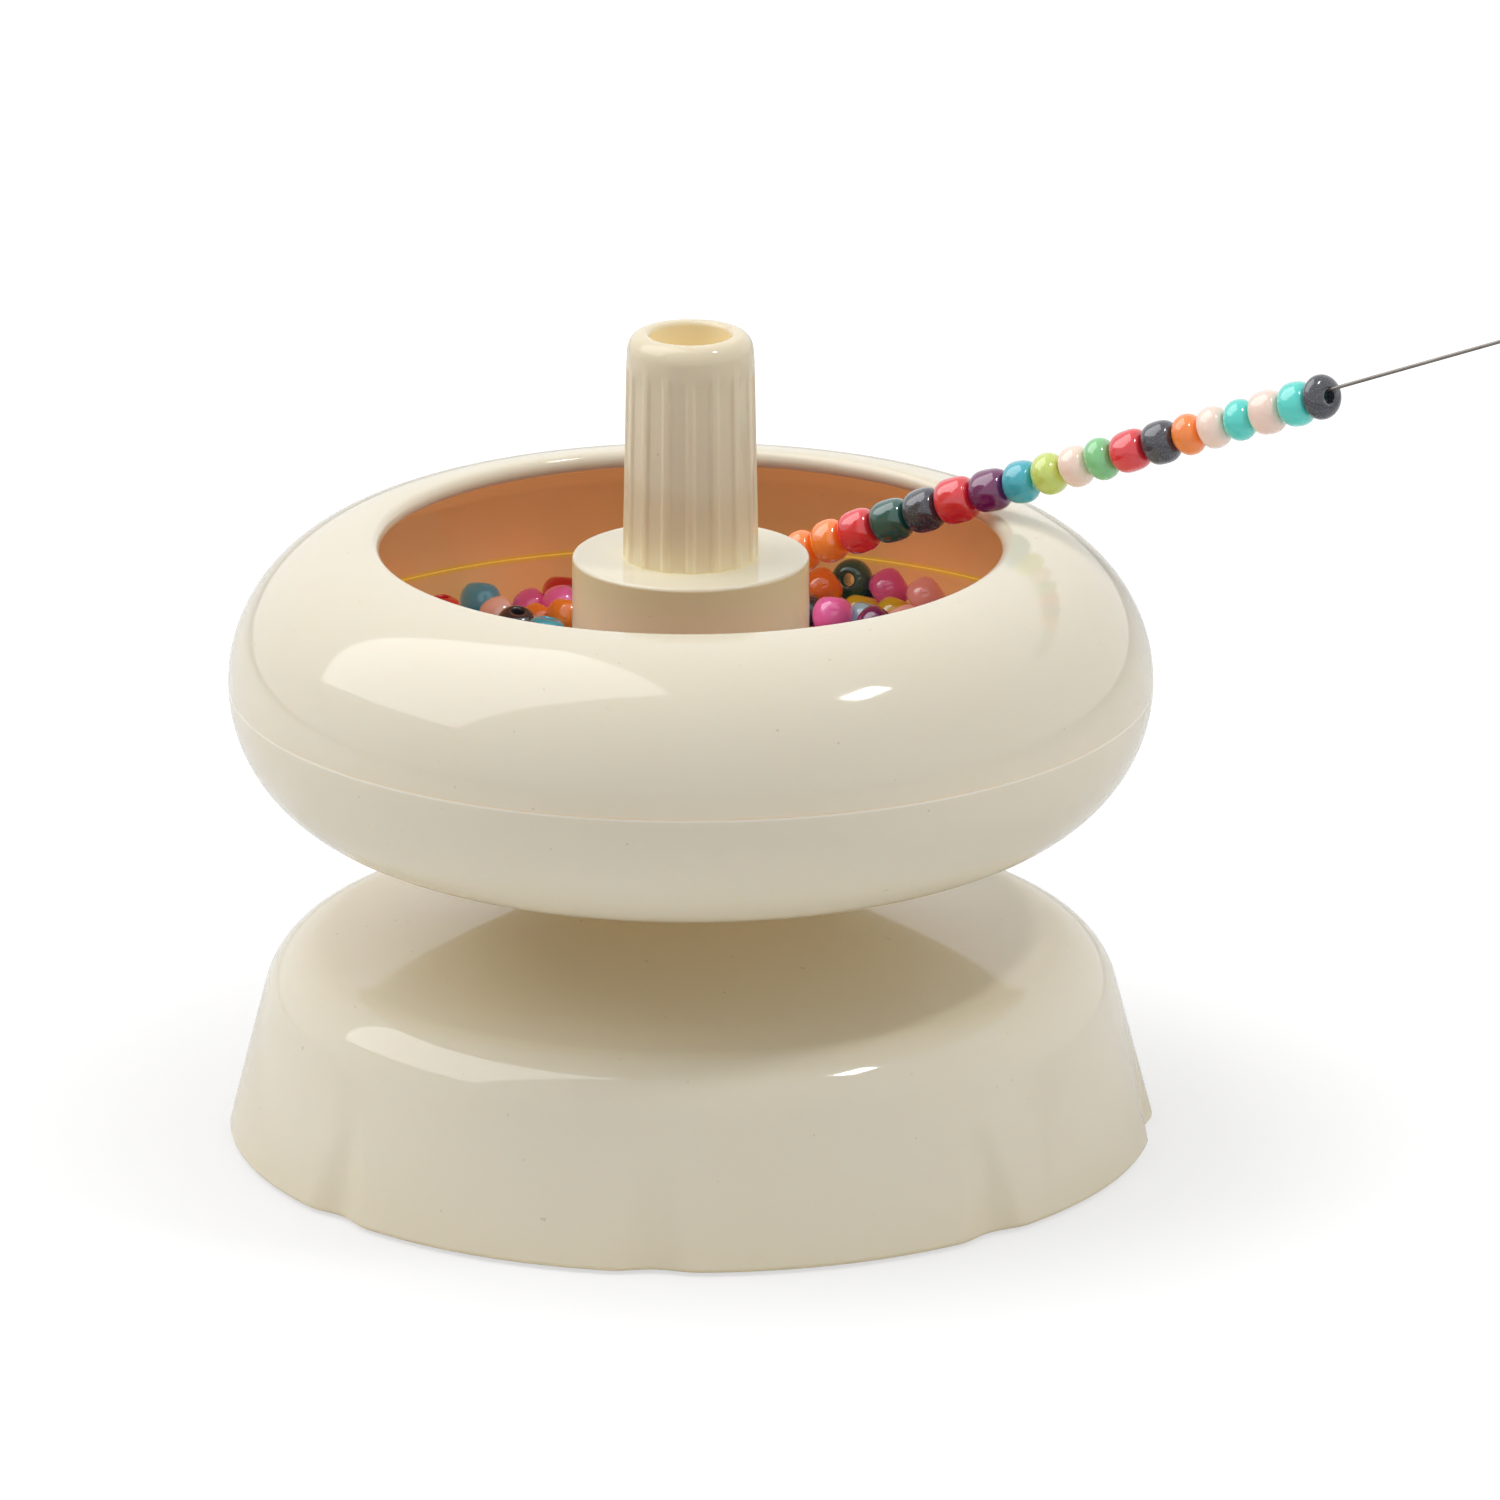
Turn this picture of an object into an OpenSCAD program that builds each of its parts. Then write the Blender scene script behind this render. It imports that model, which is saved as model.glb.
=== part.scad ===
// Bead spinner: a round bowl that spins on a steel spindle over a scalloped base,
// with a ribbed finger knob, loose beads in the bowl and a bead-loading needle with its strand.
// Millimetres. +Z is up, the origin is the centre of the base's resting plane, -Y is the front.

/* [Base] */
// Radius of the base at the foot of its skirt
rim_r = 42.3; // [40:0.1:46]
// Lean of the skirt, degrees from upright
skirt_draft = 14.6; // [8:0.1:18]
// Height of the centre of the rounded shoulder
shoulder_z = 12; // [10:0.1:14]
// Radius of the rounded shoulder
shoulder_round = 6.2; // [4:0.1:8]
// Slope of the top just inside the shoulder, degrees
top_slope = 3; // [0:0.5:6]
// Radius of the hollow sweep from the shoulder up to the stem
sweep_r = 70; // [65:1:120]
// Radius of the stem under the bowl
stem_r = 6; // [5:0.1:8]
// Wall of the base moulding
base_wall = 2; // [1.6:0.1:2.6]
// How far the rim stands above the table
foot_proud = 0.3; // [0.2:0.1:0.8]
// Lowest point of the post that holds the spindle
post_z = 4.6; // [4.4:0.1:6]
// Number of scallops round the skirt
scallops = 8; // [6:1:12]
// Turn of the first groove between scallops from the front, degrees
scallop_turn = -4.5; // [-20:0.5:20]
// Depth of a groove at the rim
groove_depth = 0.75; // [0.4:0.05:1.2]
// Radius of the cone that cuts a groove, at the rim
groove_r = 8; // [5:0.5:10]
// Height over which a groove fades out
groove_h = 10; // [7:0.5:12]
// Number of stiffening ribs under the base
ribs = 8; // [4:1:12]
// Thickness of a rib
rib_t = 1.4; // [1:0.1:2]
// Height of the ribs' lower edge above the table
rib_z = 6; // [4:0.5:9]

/* [Feet] */
// Radius of a rubber foot pad
pad_r = 3.4; // [2.5:0.1:4]
// Thickness of a pad
pad_t = 1.4; // [1.2:0.1:2]
// Radius of the circle that the outer pads stand on
pad_ring_r = 34.5; // [31:0.5:35]
// Number of outer pads
pads = 4; // [3:1:6]
// Wall of the cup that holds a pad
cup_wall = 1.2; // [0.8:0.1:1.6]

/* [Bowl] */
// Radius of the circle on which the bowl's round section is centred
ring_r = 28.85; // [27.5:0.05:31]
// Outside radius of the bowl's round section
section_r = 13.15; // [12.5:0.05:14.5]
// Wall of both bowl shells
bowl_wall = 1.7; // [1.4:0.1:2.2]
// Height of the seam between the two shells
seam_z = 42.7; // [42:0.1:46]
// Width of the fine gap that shows at the seam
seam_reveal = 0.12; // [0.05:0.01:0.3]
// Thickness of the tongue that locates the upper shell
tongue_t = 0.6; // [0.4:0.1:0.9]
// Height of the tongue
tongue_h = 1.5; // [1:0.1:2.5]
// Angle at which the upper shell stops at its lip, degrees above the seam
lip_angle = 89; // [75:1:95]

/* [Hub] */
// Radius of the flat-topped collar
collar_r = 10.75; // [10:0.05:12]
// Height of the collar's top
collar_top_z = 54.4; // [53.5:0.1:58]
// Wall of the collar
collar_wall = 1.6; // [1.2:0.1:2]
// Thickness of the collar's top
collar_top_t = 2; // [1.5:0.1:2.5]
// Depth over which the collar's sleeve grips the hub tube
sleeve_h = 9; // [6:0.5:12]
// Outside radius of the hub tube
hub_r = 6.2; // [5.8:0.1:7]
// Bore of the hub tube
hub_bore_r = 4.2; // [4:0.1:4.6]

/* [Knob] */
// Radius of the knob at its foot
knob_foot_r = 6.15; // [5.8:0.05:6.6]
// Radius of the knob at its top
knob_top_r = 5.75; // [5.6:0.05:6]
// Height of the knob's top
knob_top_z = 75.3; // [72:0.1:80]
// Rounding of the knob's top edge
knob_round = 1.5; // [1:0.1:1.7]
// Radius of the hole in the knob
knob_hole_r = 3.7; // [3.4:0.05:3.8]
// Depth of the hole in the knob
knob_hole_h = 16; // [10:0.5:17]
// Number of flutes that leave the narrow ribs between them
flutes = 16; // [12:1:20]
// Depth of a flute
flute_depth = 0.25; // [0.15:0.05:0.4]
// Distance from the knob's top down to the flutes' round ends
flute_stop = 4.6; // [4:0.1:8]
// Length of the plug that holds the knob in the hub tube
plug_h = 5.6; // [4:0.1:6]

/* [Spindle] */
// Radius of the steel spindle
spindle_r = 2; // [1.8:0.05:2.2]
// Radius of the spindle's head
head_r = 4; // [3.4:0.1:4.4]
// Height of the spindle's head
head_h = 2.2; // [1.6:0.1:2.4]
// Radial clearance between the spindle and what turns on it
run_clear = 0.05; // [0.02:0.01:0.1]
// Upright play between parts that turn against each other
spin_gap = 0.05; // [0.03:0.01:0.3]
// Radius of the thrust washer
washer_r = 5.2; // [4.6:0.1:5.6]
// Thickness of the thrust washer
washer_t = 0.8; // [0.5:0.1:1]
// Thickness of the flange on each bush
flange_t = 1; // [0.6:0.1:1.4]
// Radius of the flange on each bush
flange_r = 5.4; // [5:0.1:5.7]
// Length of each bush inside the hub tube
bush_h = 6; // [4:0.5:8]
// Room above the upper bush for the washer, the clip and the spindle's end
spindle_end_h = 4; // [3.4:0.1:4.2]
// Thickness of the retaining clip
clip_t = 0.6; // [0.4:0.1:0.8]
// Outside radius of the retaining clip
clip_r = 3.4; // [3:0.1:3.6]
// Depth of the clip's groove in the spindle
clip_groove = 0.45; // [0.3:0.05:0.6]

/* [Beads] */
// Diameter of a bead
bead_d = 4; // [3.8:0.05:4.1]
// Length of a loose bead along its hole
bead_len = 3.1; // [2.6:0.1:3.3]
// Radius of the hole through a bead
bead_hole_r = 0.65; // [0.45:0.05:0.8]
// Rounding of a bead's edges
bead_round = 1.25; // [0.8:0.05:1.3]
// Distance between neighbouring loose beads
bead_pitch = 4.45; // [4.4:0.05:5]
// Height of the packed beads under the top layer, at the collar
fill_in_z = 37.2; // [35:0.1:38]
// Height of the packed beads under the top layer, at the outer wall
fill_out_z = 38.8; // [36:0.1:39.4]
// Gap left between things that only rest on each other
rest_gap = 0.3; // [0.2:0.05:0.5]

/* [Needle] */
// Radius of the needle's wire
wire_r = 0.17; // [0.15:0.01:0.3]
// Turn of the needle about the spindle, degrees
needle_turn = -24.2; // [-40:0.1:0]
// Distance from the spindle's axis to the upright plane that holds the needle
needle_offset = 18.3; // [17:0.1:20]
// Rise of the straight shank, degrees
needle_lift = 21.5; // [18:0.1:24]
// Length of the straight shank beyond the bowl's lip
shank_len = 68; // [60:1:90]
// Radius of the long bend inside the bowl
bend_r = 360; // [200:10:500]
// Angle of the long bend, degrees
bend_angle = 3.7; // [3:0.1:6]
// Radius of the hook at the needle's tip
hook_r = 9; // [6:0.5:10]
// Angle by which the tip turns up again, degrees
tip_angle = 14; // [5:1:20]
// Length of the needle's point
point_len = 1.2; // [0.8:0.1:2]
// Middle radius of the eye at the far end
eye_r = 0.75; // [0.6:0.05:1]
// Place of the first bead along the wire, measured from the lip
strand_start = -21.15; // [-22:0.05:-18]

/* [Hidden] */

$fn = 96;
fine = 32;
over = 1;          // how far a cutter runs past what it cuts
cream = [0.93, 0.89, 0.79];

// The strand from its lower end up: colour, length and diameter of each bead
STRAND = [
    ["orange", 2.8, 3.9], ["orange", 3.0, 4.0], ["red", 3.4, 4.1], ["green", 3.5, 4.0],
    ["black", 3.4, 4.1], ["red", 3.5, 4.4], ["purple", 3.5, 4.0], ["teal", 3.0, 4.0],
    ["lime", 2.8, 4.0], ["pink", 2.7, 3.9], ["leaf", 2.6, 4.0], ["red", 3.3, 4.0],
    ["black", 3.1, 4.0], ["orange", 2.5, 3.9], ["pink", 2.7, 3.9], ["turquoise", 2.6, 3.9],
    ["pink", 3.0, 4.0], ["turquoise", 2.9, 4.2], ["black", 2.9, 4.1]
];
strand_gap = 0.06;

// Colours of the loose beads, taken in turn round the bowl
LOOSE = ["orange", "teal", "rose", "black", "pink", "green", "red", "sky", "purple", "yellow"];

// Heights and radii that follow from the sizes above
bowl_bottom_z = seam_z - section_r;
floor_z = bowl_bottom_z + bowl_wall;
lip_top_z = seam_z + section_r;
stem_top_z = bowl_bottom_z - flange_t - spin_gap - washer_t;
shoulder_c = rim_r - (shoulder_z - foot_proud) * tan(skirt_draft) - shoulder_round / cos(skirt_draft);
sweep_c = [shoulder_c + (shoulder_round + sweep_r) * sin(top_slope),
           shoulder_z + (shoulder_round + sweep_r) * cos(top_slope)];
post_r = stem_r;
head_z = post_z - head_h;
hub_top_z = collar_top_z - collar_top_t;
plug_z = collar_top_z - plug_h;
upper_bush_z = plug_z - spindle_end_h - bush_h - spin_gap;
clip_washer_t = clip_t;
clip_washer_z = upper_bush_z + bush_h + spin_gap;
clip_z = clip_washer_z + clip_washer_t;
spindle_top_z = plug_z - 0.4;
cup_r = pad_r + cup_wall;
flute_half = sin(180 / flutes);
flute_r = 0.97 * (knob_top_r - flute_depth) * flute_half / (1 - flute_half);

bead_seat = 0.1;                         // how far the top layer stands off the beads below it

// The needle's path, in its own upright plane: x outwards to the right, z up
hang = bead_hole_r - wire_r - 0.03;      // how far a bead hangs below the wire
rest_x = sqrt(pow(ring_r, 2) - pow(needle_offset, 2));
rest_z = lip_top_z + (bead_d / 2 + rest_gap + hang) / cos(needle_lift);
bend_c = [rest_x + bend_r * sin(needle_lift), rest_z - bend_r * cos(needle_lift)];
dip_angle = needle_lift + bend_angle;
dip_from = bend_c + bend_r * [-sin(dip_angle), cos(dip_angle)];
hook_z = fill_z(needle_offset + 2 * bead_d) + bead_d + rest_gap + bead_seat + wire_r;
dip_len = (dip_from[1] - hook_r * (1 - cos(dip_angle)) - hook_z) / sin(dip_angle);
dip_to = dip_from - dip_len * [cos(dip_angle), sin(dip_angle)];
hook_c = dip_to + hook_r * [-sin(dip_angle), cos(dip_angle)];
tip_from = hook_c + hook_r * [-sin(tip_angle), -cos(tip_angle)];

// Height of the packed beads at a radius
function fill_z(r) = fill_in_z + (fill_out_z - fill_in_z) * (r - collar_r) / (ring_r + section_r - collar_r);

// Slope and place of the wire at a length s from the lip, s < 0 inside the bowl
function wire_slope(s) = needle_lift - min(s, 0) / bend_r * 180 / PI;
function wire_at(s) = s >= 0
    ? [rest_x + s * cos(needle_lift), rest_z + s * sin(needle_lift)]
    : bend_c + bend_r * [-sin(wire_slope(s)), cos(wire_slope(s))];

// Place of strand bead i along the wire
function strand_s(i) = i == 0 ? strand_start
    : strand_s(i - 1) + (STRAND[i - 1][1] + STRAND[i][1]) / 2 + strand_gap;

// Paint of each bead colour
function paint(name) =
    name == "orange" ? [0.93, 0.41, 0.10] :
    name == "red" ? [0.76, 0.07, 0.13] :
    name == "green" ? [0.03, 0.24, 0.18] :
    name == "black" ? [0.12, 0.13, 0.19] :
    name == "purple" ? [0.32, 0.10, 0.38] :
    name == "teal" ? [0.10, 0.50, 0.60] :
    name == "lime" ? [0.64, 0.76, 0.16] :
    name == "pink" ? [0.96, 0.74, 0.68] :
    name == "leaf" ? [0.24, 0.62, 0.30] :
    name == "turquoise" ? [0.10, 0.66, 0.62] :
    name == "rose" ? [0.82, 0.20, 0.42] :
    name == "yellow" ? [0.92, 0.76, 0.12] : [0.42, 0.66, 0.84];

// Half of the base's outline, moved in by inset and starting at height from_z
module base_half(inset, from_z) {
    foot_x = rim_r - inset / cos(skirt_draft) - (from_z - foot_proud) * tan(skirt_draft);
    r = shoulder_round - inset;
    polygon([
        [0, from_z],
        [foot_x, from_z],
        [shoulder_c + r * cos(skirt_draft), shoulder_z + r * sin(skirt_draft)],
        [shoulder_c, shoulder_z],
        [0, shoulder_z]
    ]);
    translate([shoulder_c, shoulder_z]) circle(r);
    difference() {
        translate([0, shoulder_z - over])
            square([shoulder_c + r * sin(top_slope), stem_top_z - inset - shoulder_z + over]);
        translate(sweep_c) circle(sweep_r + inset, $fn = 360);
    }
}

module base_block(inset, from_z) {
    rotate_extrude() base_half(inset, from_z);
}

// A cone laid along the skirt with its point up: its inner side is groove_depth deep at the rim
module scallop_groove() {
    fade = atan(groove_depth / groove_h);
    reach = 1.3 * groove_h;
    spread = atan(groove_r / reach);
    h = (reach + 3) * cos(spread);
    translate([rim_r - groove_depth, 0, foot_proud])
        rotate([0, fade - skirt_draft, 0])
        translate([0, 0, reach])
        rotate([0, -spread, 0])
        translate([0, 0, -h])
        cylinder(r1 = h * tan(spread), r2 = 0, h = h);
}

module pad_places() {
    for (i = [0 : pads - 1])
        rotate([0, 0, 45 + i * 360 / pads]) translate([pad_ring_r, 0, 0]) children();
}

module base_shell() {
    color(cream) difference() {
        union() {
            difference() {
                base_block(0, foot_proud);
                base_block(base_wall, foot_proud - over);
                for (i = [0 : scallops - 1])
                    rotate([0, 0, -90 + scallop_turn + i * 360 / scallops]) scallop_groove();
            }
            // post, stem and the web that joins them to the top
            translate([0, 0, post_z]) cylinder(r = post_r, h = stem_top_z - post_z);
            intersection() {
                base_block(base_wall / 2, foot_proud);
                union() {
                    for (i = [0 : ribs - 1])
                        rotate([0, 0, i * 360 / ribs])
                            translate([0, -rib_t / 2, rib_z])
                            cube([rim_r, rib_t, stem_top_z - rib_z]);
                    pad_places() translate([0, 0, foot_proud]) cylinder(r = cup_r, h = shoulder_z);
                }
            }
        }
        pad_places() translate([0, 0, foot_proud - over]) cylinder(r = pad_r, h = pad_t - foot_proud + over);
        translate([0, 0, post_z - over]) cylinder(r = spindle_r, h = stem_top_z - post_z + 2 * over);
    }
}

// Rubber pads: the outer ones in their cups, one more over the spindle's head
module foot_pads() {
    color([0.20, 0.20, 0.21]) {
        pad_places() cylinder(r = pad_r, h = pad_t);
        cylinder(r = post_r, h = head_z);
    }
}

module spindle() {
    chamfer = 0.4;
    slot_w = 1;
    slot_h = 0.8;
    color([0.72, 0.73, 0.75]) difference() {
        union() {
            translate([0, 0, head_z]) cylinder(r = head_r, h = head_h);
            translate([0, 0, head_z]) cylinder(r = spindle_r, h = spindle_top_z - chamfer - head_z);
            translate([0, 0, spindle_top_z - chamfer])
                cylinder(r1 = spindle_r, r2 = spindle_r - chamfer, h = chamfer);
        }
        translate([-head_r - over, -slot_w / 2, head_z - over])
            cube([2 * (head_r + over), slot_w, slot_h + over]);
        translate([0, 0, clip_z]) rotate_extrude()
            translate([spindle_r - clip_groove, 0]) square([clip_groove + over, clip_t]);
    }
}

module ring(r_in, r_out, z, h) {
    translate([0, 0, z]) rotate_extrude() translate([r_in, 0]) square([r_out - r_in, h]);
}

module thrust_washer() {
    color([0.90, 0.90, 0.88]) ring(spindle_r + run_clear, washer_r, stem_top_z, washer_t);
}

module clip_washer() {
    color([0.70, 0.71, 0.73]) ring(spindle_r + run_clear, clip_r, clip_washer_z, clip_washer_t);
}

// Open ring snapped into the spindle's groove
module spindle_clip() {
    mouth = 0.7 * spindle_r;
    color([0.35, 0.36, 0.38]) translate([0, 0, clip_z]) linear_extrude(clip_t) difference() {
        circle(clip_r);
        circle(spindle_r - clip_groove);
        translate([0, -mouth]) square([clip_r + over, 2 * mouth]);
    }
}

// Half sections of the bowl, in the plane of radius and height
module bowl_round(inset) {
    translate([ring_r, seam_z]) circle(section_r - inset, $fn = 192);
}

module bowl_tongue(clear) {
    intersection() {
        difference() {
            bowl_round((bowl_wall - tongue_t) / 2 - clear);
            bowl_round((bowl_wall + tongue_t) / 2 + clear);
        }
        translate([ring_r, seam_z - over]) square([section_r, tongue_h + clear + over]);
    }
}

module bowl_lower() {
    color(cream) rotate_extrude() {
        difference() {
            union() {
                intersection() {
                    bowl_round(0);
                    translate([ring_r - over, bowl_bottom_z]) square([section_r + 2 * over, section_r]);
                }
                translate([hub_bore_r, bowl_bottom_z]) square([ring_r - hub_bore_r, bowl_wall]);
            }
            intersection() {
                bowl_round(bowl_wall);
                translate([ring_r - over, floor_z]) square([section_r + over, section_r + over]);
            }
            translate([ring_r - over, floor_z]) square([over, section_r]);
        }
        bowl_tongue(0);
        translate([hub_bore_r, bowl_bottom_z]) square([hub_r - hub_bore_r, hub_top_z - bowl_bottom_z]);
    }
}

module bowl_upper() {
    nose = [cos(lip_angle), sin(lip_angle)];
    far = 2 * section_r;
    fit_gap = 0.05;
    color(cream) rotate_extrude() difference() {
        union() {
            intersection() {
                difference() {
                    bowl_round(0);
                    bowl_round(bowl_wall);
                }
                translate([ring_r, seam_z])
                    polygon([[0, 0], [far, 0], [far, far], far * nose]);
            }
            translate([ring_r, seam_z] + (section_r - bowl_wall / 2) * nose) circle(bowl_wall / 2);
        }
        translate([ring_r, seam_z - over]) square([far, seam_reveal + over]);
        bowl_tongue(fit_gap);
    }
}

// Cap over the hub tube: a flat-topped drum with a sleeve that grips the tube
module hub_collar() {
    sleeve_r = hub_r + collar_wall;
    color(cream) rotate_extrude() {
        translate([collar_r - collar_wall, floor_z]) square([collar_wall, collar_top_z - floor_z]);
        translate([hub_bore_r, hub_top_z]) square([collar_r - hub_bore_r, collar_top_t]);
        translate([hub_r, hub_top_z - sleeve_h]) square([sleeve_r - hub_r, sleeve_h]);
    }
}

module knob() {
    body_h = knob_top_z - collar_top_z;
    taper = atan((knob_foot_r - knob_top_r) / body_h);
    side_h = body_h - knob_round;
    side_top_r = knob_foot_r - side_h * tan(taper);
    color(cream) difference() {
        union() {
            translate([0, 0, collar_top_z]) rotate_extrude() {
                polygon([[0, 0], [knob_foot_r, 0], [side_top_r, side_h], [0, side_h]]);
                translate([0, side_h - over]) square([side_top_r - knob_round, knob_round + over]);
                intersection() {
                    translate([side_top_r - knob_round, side_h]) circle(knob_round);
                    translate([0, side_h - over]) square([side_top_r, body_h]);
                }
            }
            translate([0, 0, plug_z]) cylinder(r = hub_bore_r, h = plug_h);
        }
        translate([0, 0, knob_top_z - knob_hole_h]) cylinder(r = knob_hole_r, h = knob_hole_h + over);
        for (i = [0 : flutes - 1])
            rotate([0, 0, (i + 0.5) * 360 / flutes - 90]) knob_flute(body_h - flute_stop, taper);
    }
}

// Round cutter that leans with the knob's side and ends in a ball
module knob_flute(h, taper) {
    translate([knob_foot_r + flute_r - flute_depth, 0, collar_top_z]) rotate([0, -taper, 0]) {
        translate([0, 0, -over]) cylinder(r = flute_r, h = h + over, $fn = fine);
        translate([0, 0, h]) sphere(flute_r, $fn = fine);
    }
}

module lower_bush() {
    bush_z = bowl_bottom_z - flange_t;
    color([0.88, 0.86, 0.80]) {
        ring(spindle_r + run_clear, flange_r, bush_z, flange_t);
        ring(spindle_r + run_clear, hub_bore_r, bush_z, bush_h + flange_t);
    }
}

module upper_bush() {
    color([0.88, 0.86, 0.80]) ring(spindle_r + run_clear, hub_bore_r, upper_bush_z, bush_h);
}

// The packed lower layers of beads, drawn as one mass that fills the bowl's floor
module bead_fill() {
    inner_r = collar_r + rest_gap;
    outer_r = ring_r + section_r;
    gap = bead_seat;
    color([0.55, 0.35, 0.30]) rotate_extrude() intersection() {
        union() {
            difference() {
                bowl_round(bowl_wall + gap);
                translate([0, floor_z]) square([ring_r, 2 * section_r]);
            }
            translate([inner_r, floor_z + gap]) square([ring_r - inner_r, section_r]);
        }
        polygon([
            [inner_r, floor_z + gap], [outer_r, floor_z + gap],
            [outer_r, fill_z(outer_r)], [inner_r, fill_z(inner_r)]
        ]);
    }
}

// One bead about the origin, its hole along Z
module bead(d, len) {
    r = d / 2;
    edge = min(bead_round, len / 2 - 0.1);
    rotate_extrude() difference() {
        union() {
            translate([0, -len / 2]) square([r - edge, len]);
            translate([0, edge - len / 2]) square([r, len - 2 * edge]);
            for (side = [-1, 1])
                translate([r - edge, side * (len / 2 - edge)]) circle(edge, $fn = fine);
        }
        translate([-r, -len]) square([r + bead_hole_r, 2 * len]);
    }
}

// Top layer of loose beads: rings of beads, lying flat, on edge or aslant in turn
module loose_beads(name) {
    first_r = collar_r + rest_gap + bead_d / 2 + 0.2;
    last_r = ring_r + section_r - bowl_wall - rest_gap - bead_d / 2;
    rings = floor((last_r - first_r) / bead_pitch);
    ring_step = (last_r - first_r) / rings;
    leans = [90, 0, 58, 90, 24];
    color(paint(name)) for (k = [0 : rings]) {
        r = first_r + k * ring_step;
        n = floor(2 * PI * r / bead_pitch);
        for (i = [0 : n - 1])
            if (LOOSE[(i * 3 + k * 7) % len(LOOSE)] == name)
                rotate([0, 0, i * 360 / n + k * 23])
                    translate([r, 0, fill_z(r + bead_d / 2) + bead_seat + bead_d / 2])
                    rotate([leans[(i + k) % len(leans)], 0, i * 67])
                    bead(bead_d - 0.1, bead_len, $fn = fine);
    }
}

// Places its children in the needle's plane
module needle_plane() {
    rotate([0, 0, needle_turn]) translate([0, needle_offset, 0]) children();
}

// Arc of wire about a centre in the needle's plane
module wire_arc(c, r, from, angle) {
    translate([c[0], 0, c[1]]) rotate([90, 0, 0])
        rotate_extrude(angle = angle, start = from, $fn = 360) translate([r, 0]) circle(wire_r, $fn = fine);
}

// A run of the needle from a place in its plane, in a direction given in degrees above +X
module wire_run(from, angle, len, end_r) {
    joint = wire_r / 2;
    translate([from[0], 0, from[1]]) rotate([0, 90 - angle, 0]) translate([0, 0, joint])
        cylinder(r1 = wire_r, r2 = end_r, h = len - 2 * joint, $fn = fine);
}

module wire_joint(at) {
    translate([at[0], 0, at[1]]) sphere(1.2 * wire_r, $fn = fine);
}

module beading_needle() {
    eye_at = wire_at(shank_len);
    color([0.55, 0.52, 0.48]) needle_plane() {
        wire_run([rest_x, rest_z], needle_lift, shank_len, wire_r);
        wire_joint([rest_x, rest_z]);
        wire_arc(bend_c, bend_r, 90 + needle_lift, bend_angle);
        wire_joint(dip_from);
        wire_run(dip_from, 180 + dip_angle, dip_len, wire_r);
        wire_joint(dip_to);
        wire_arc(hook_c, hook_r, -90 - tip_angle, tip_angle + dip_angle);
        wire_joint(tip_from);
        wire_run(tip_from, 180 - tip_angle, point_len, wire_r / 4);
        wire_joint(eye_at);
        translate([eye_at[0], 0, eye_at[1]]) rotate([0, 90 - needle_lift, 0]) translate([0, 0, eye_r])
            rotate([90, 0, 0]) rotate_extrude() translate([eye_r, 0]) circle(0.8 * wire_r, $fn = fine);
    }
}

// The beads of one colour on the needle, each hanging from the wire by its hole
module strung_beads(name) {
    color(paint(name)) needle_plane() for (i = [0 : len(STRAND) - 1])
        if (STRAND[i][0] == name) {
            at = wire_at(strand_s(i));
            translate([at[0], 0, at[1]])
                rotate([0, 90 - wire_slope(strand_s(i)), 0])
                translate([hang, 0, 0])
                bead(STRAND[i][2], STRAND[i][1], $fn = 48);
        }
}

module loose_beads_orange() { loose_beads("orange"); }
module loose_beads_red() { loose_beads("red"); }
module loose_beads_green() { loose_beads("green"); }
module loose_beads_black() { loose_beads("black"); }
module loose_beads_purple() { loose_beads("purple"); }
module loose_beads_teal() { loose_beads("teal"); }
module loose_beads_rose() { loose_beads("rose"); }
module loose_beads_pink() { loose_beads("pink"); }
module loose_beads_yellow() { loose_beads("yellow"); }
module loose_beads_sky() { loose_beads("sky"); }
module strung_beads_orange() { strung_beads("orange"); }
module strung_beads_red() { strung_beads("red"); }
module strung_bead_green() { strung_beads("green"); }
module strung_beads_black() { strung_beads("black"); }
module strung_bead_purple() { strung_beads("purple"); }
module strung_bead_teal() { strung_beads("teal"); }
module strung_bead_lime() { strung_beads("lime"); }
module strung_beads_pink() { strung_beads("pink"); }
module strung_bead_leaf() { strung_beads("leaf"); }
module strung_beads_turquoise() { strung_beads("turquoise"); }

base_shell();
foot_pads();
spindle();
thrust_washer();
clip_washer();
spindle_clip();
bowl_lower();
bowl_upper();
hub_collar();
knob();
lower_bush();
upper_bush();
bead_fill();
loose_beads_orange();
loose_beads_red();
loose_beads_green();
loose_beads_black();
loose_beads_purple();
loose_beads_teal();
loose_beads_rose();
loose_beads_pink();
loose_beads_yellow();
loose_beads_sky();
beading_needle();
strung_beads_orange();
strung_beads_red();
strung_bead_green();
strung_beads_black();
strung_bead_purple();
strung_bead_teal();
strung_bead_lime();
strung_beads_pink();
strung_bead_leaf();
strung_beads_turquoise();
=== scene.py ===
import logging
import math
import random
from dataclasses import dataclass, field
from enum import Enum
from typing import Callable, Dict, List, Optional, Sequence, Tuple

import bpy
import numpy as np
from mathutils import Matrix, Quaternion, Vector


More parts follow.
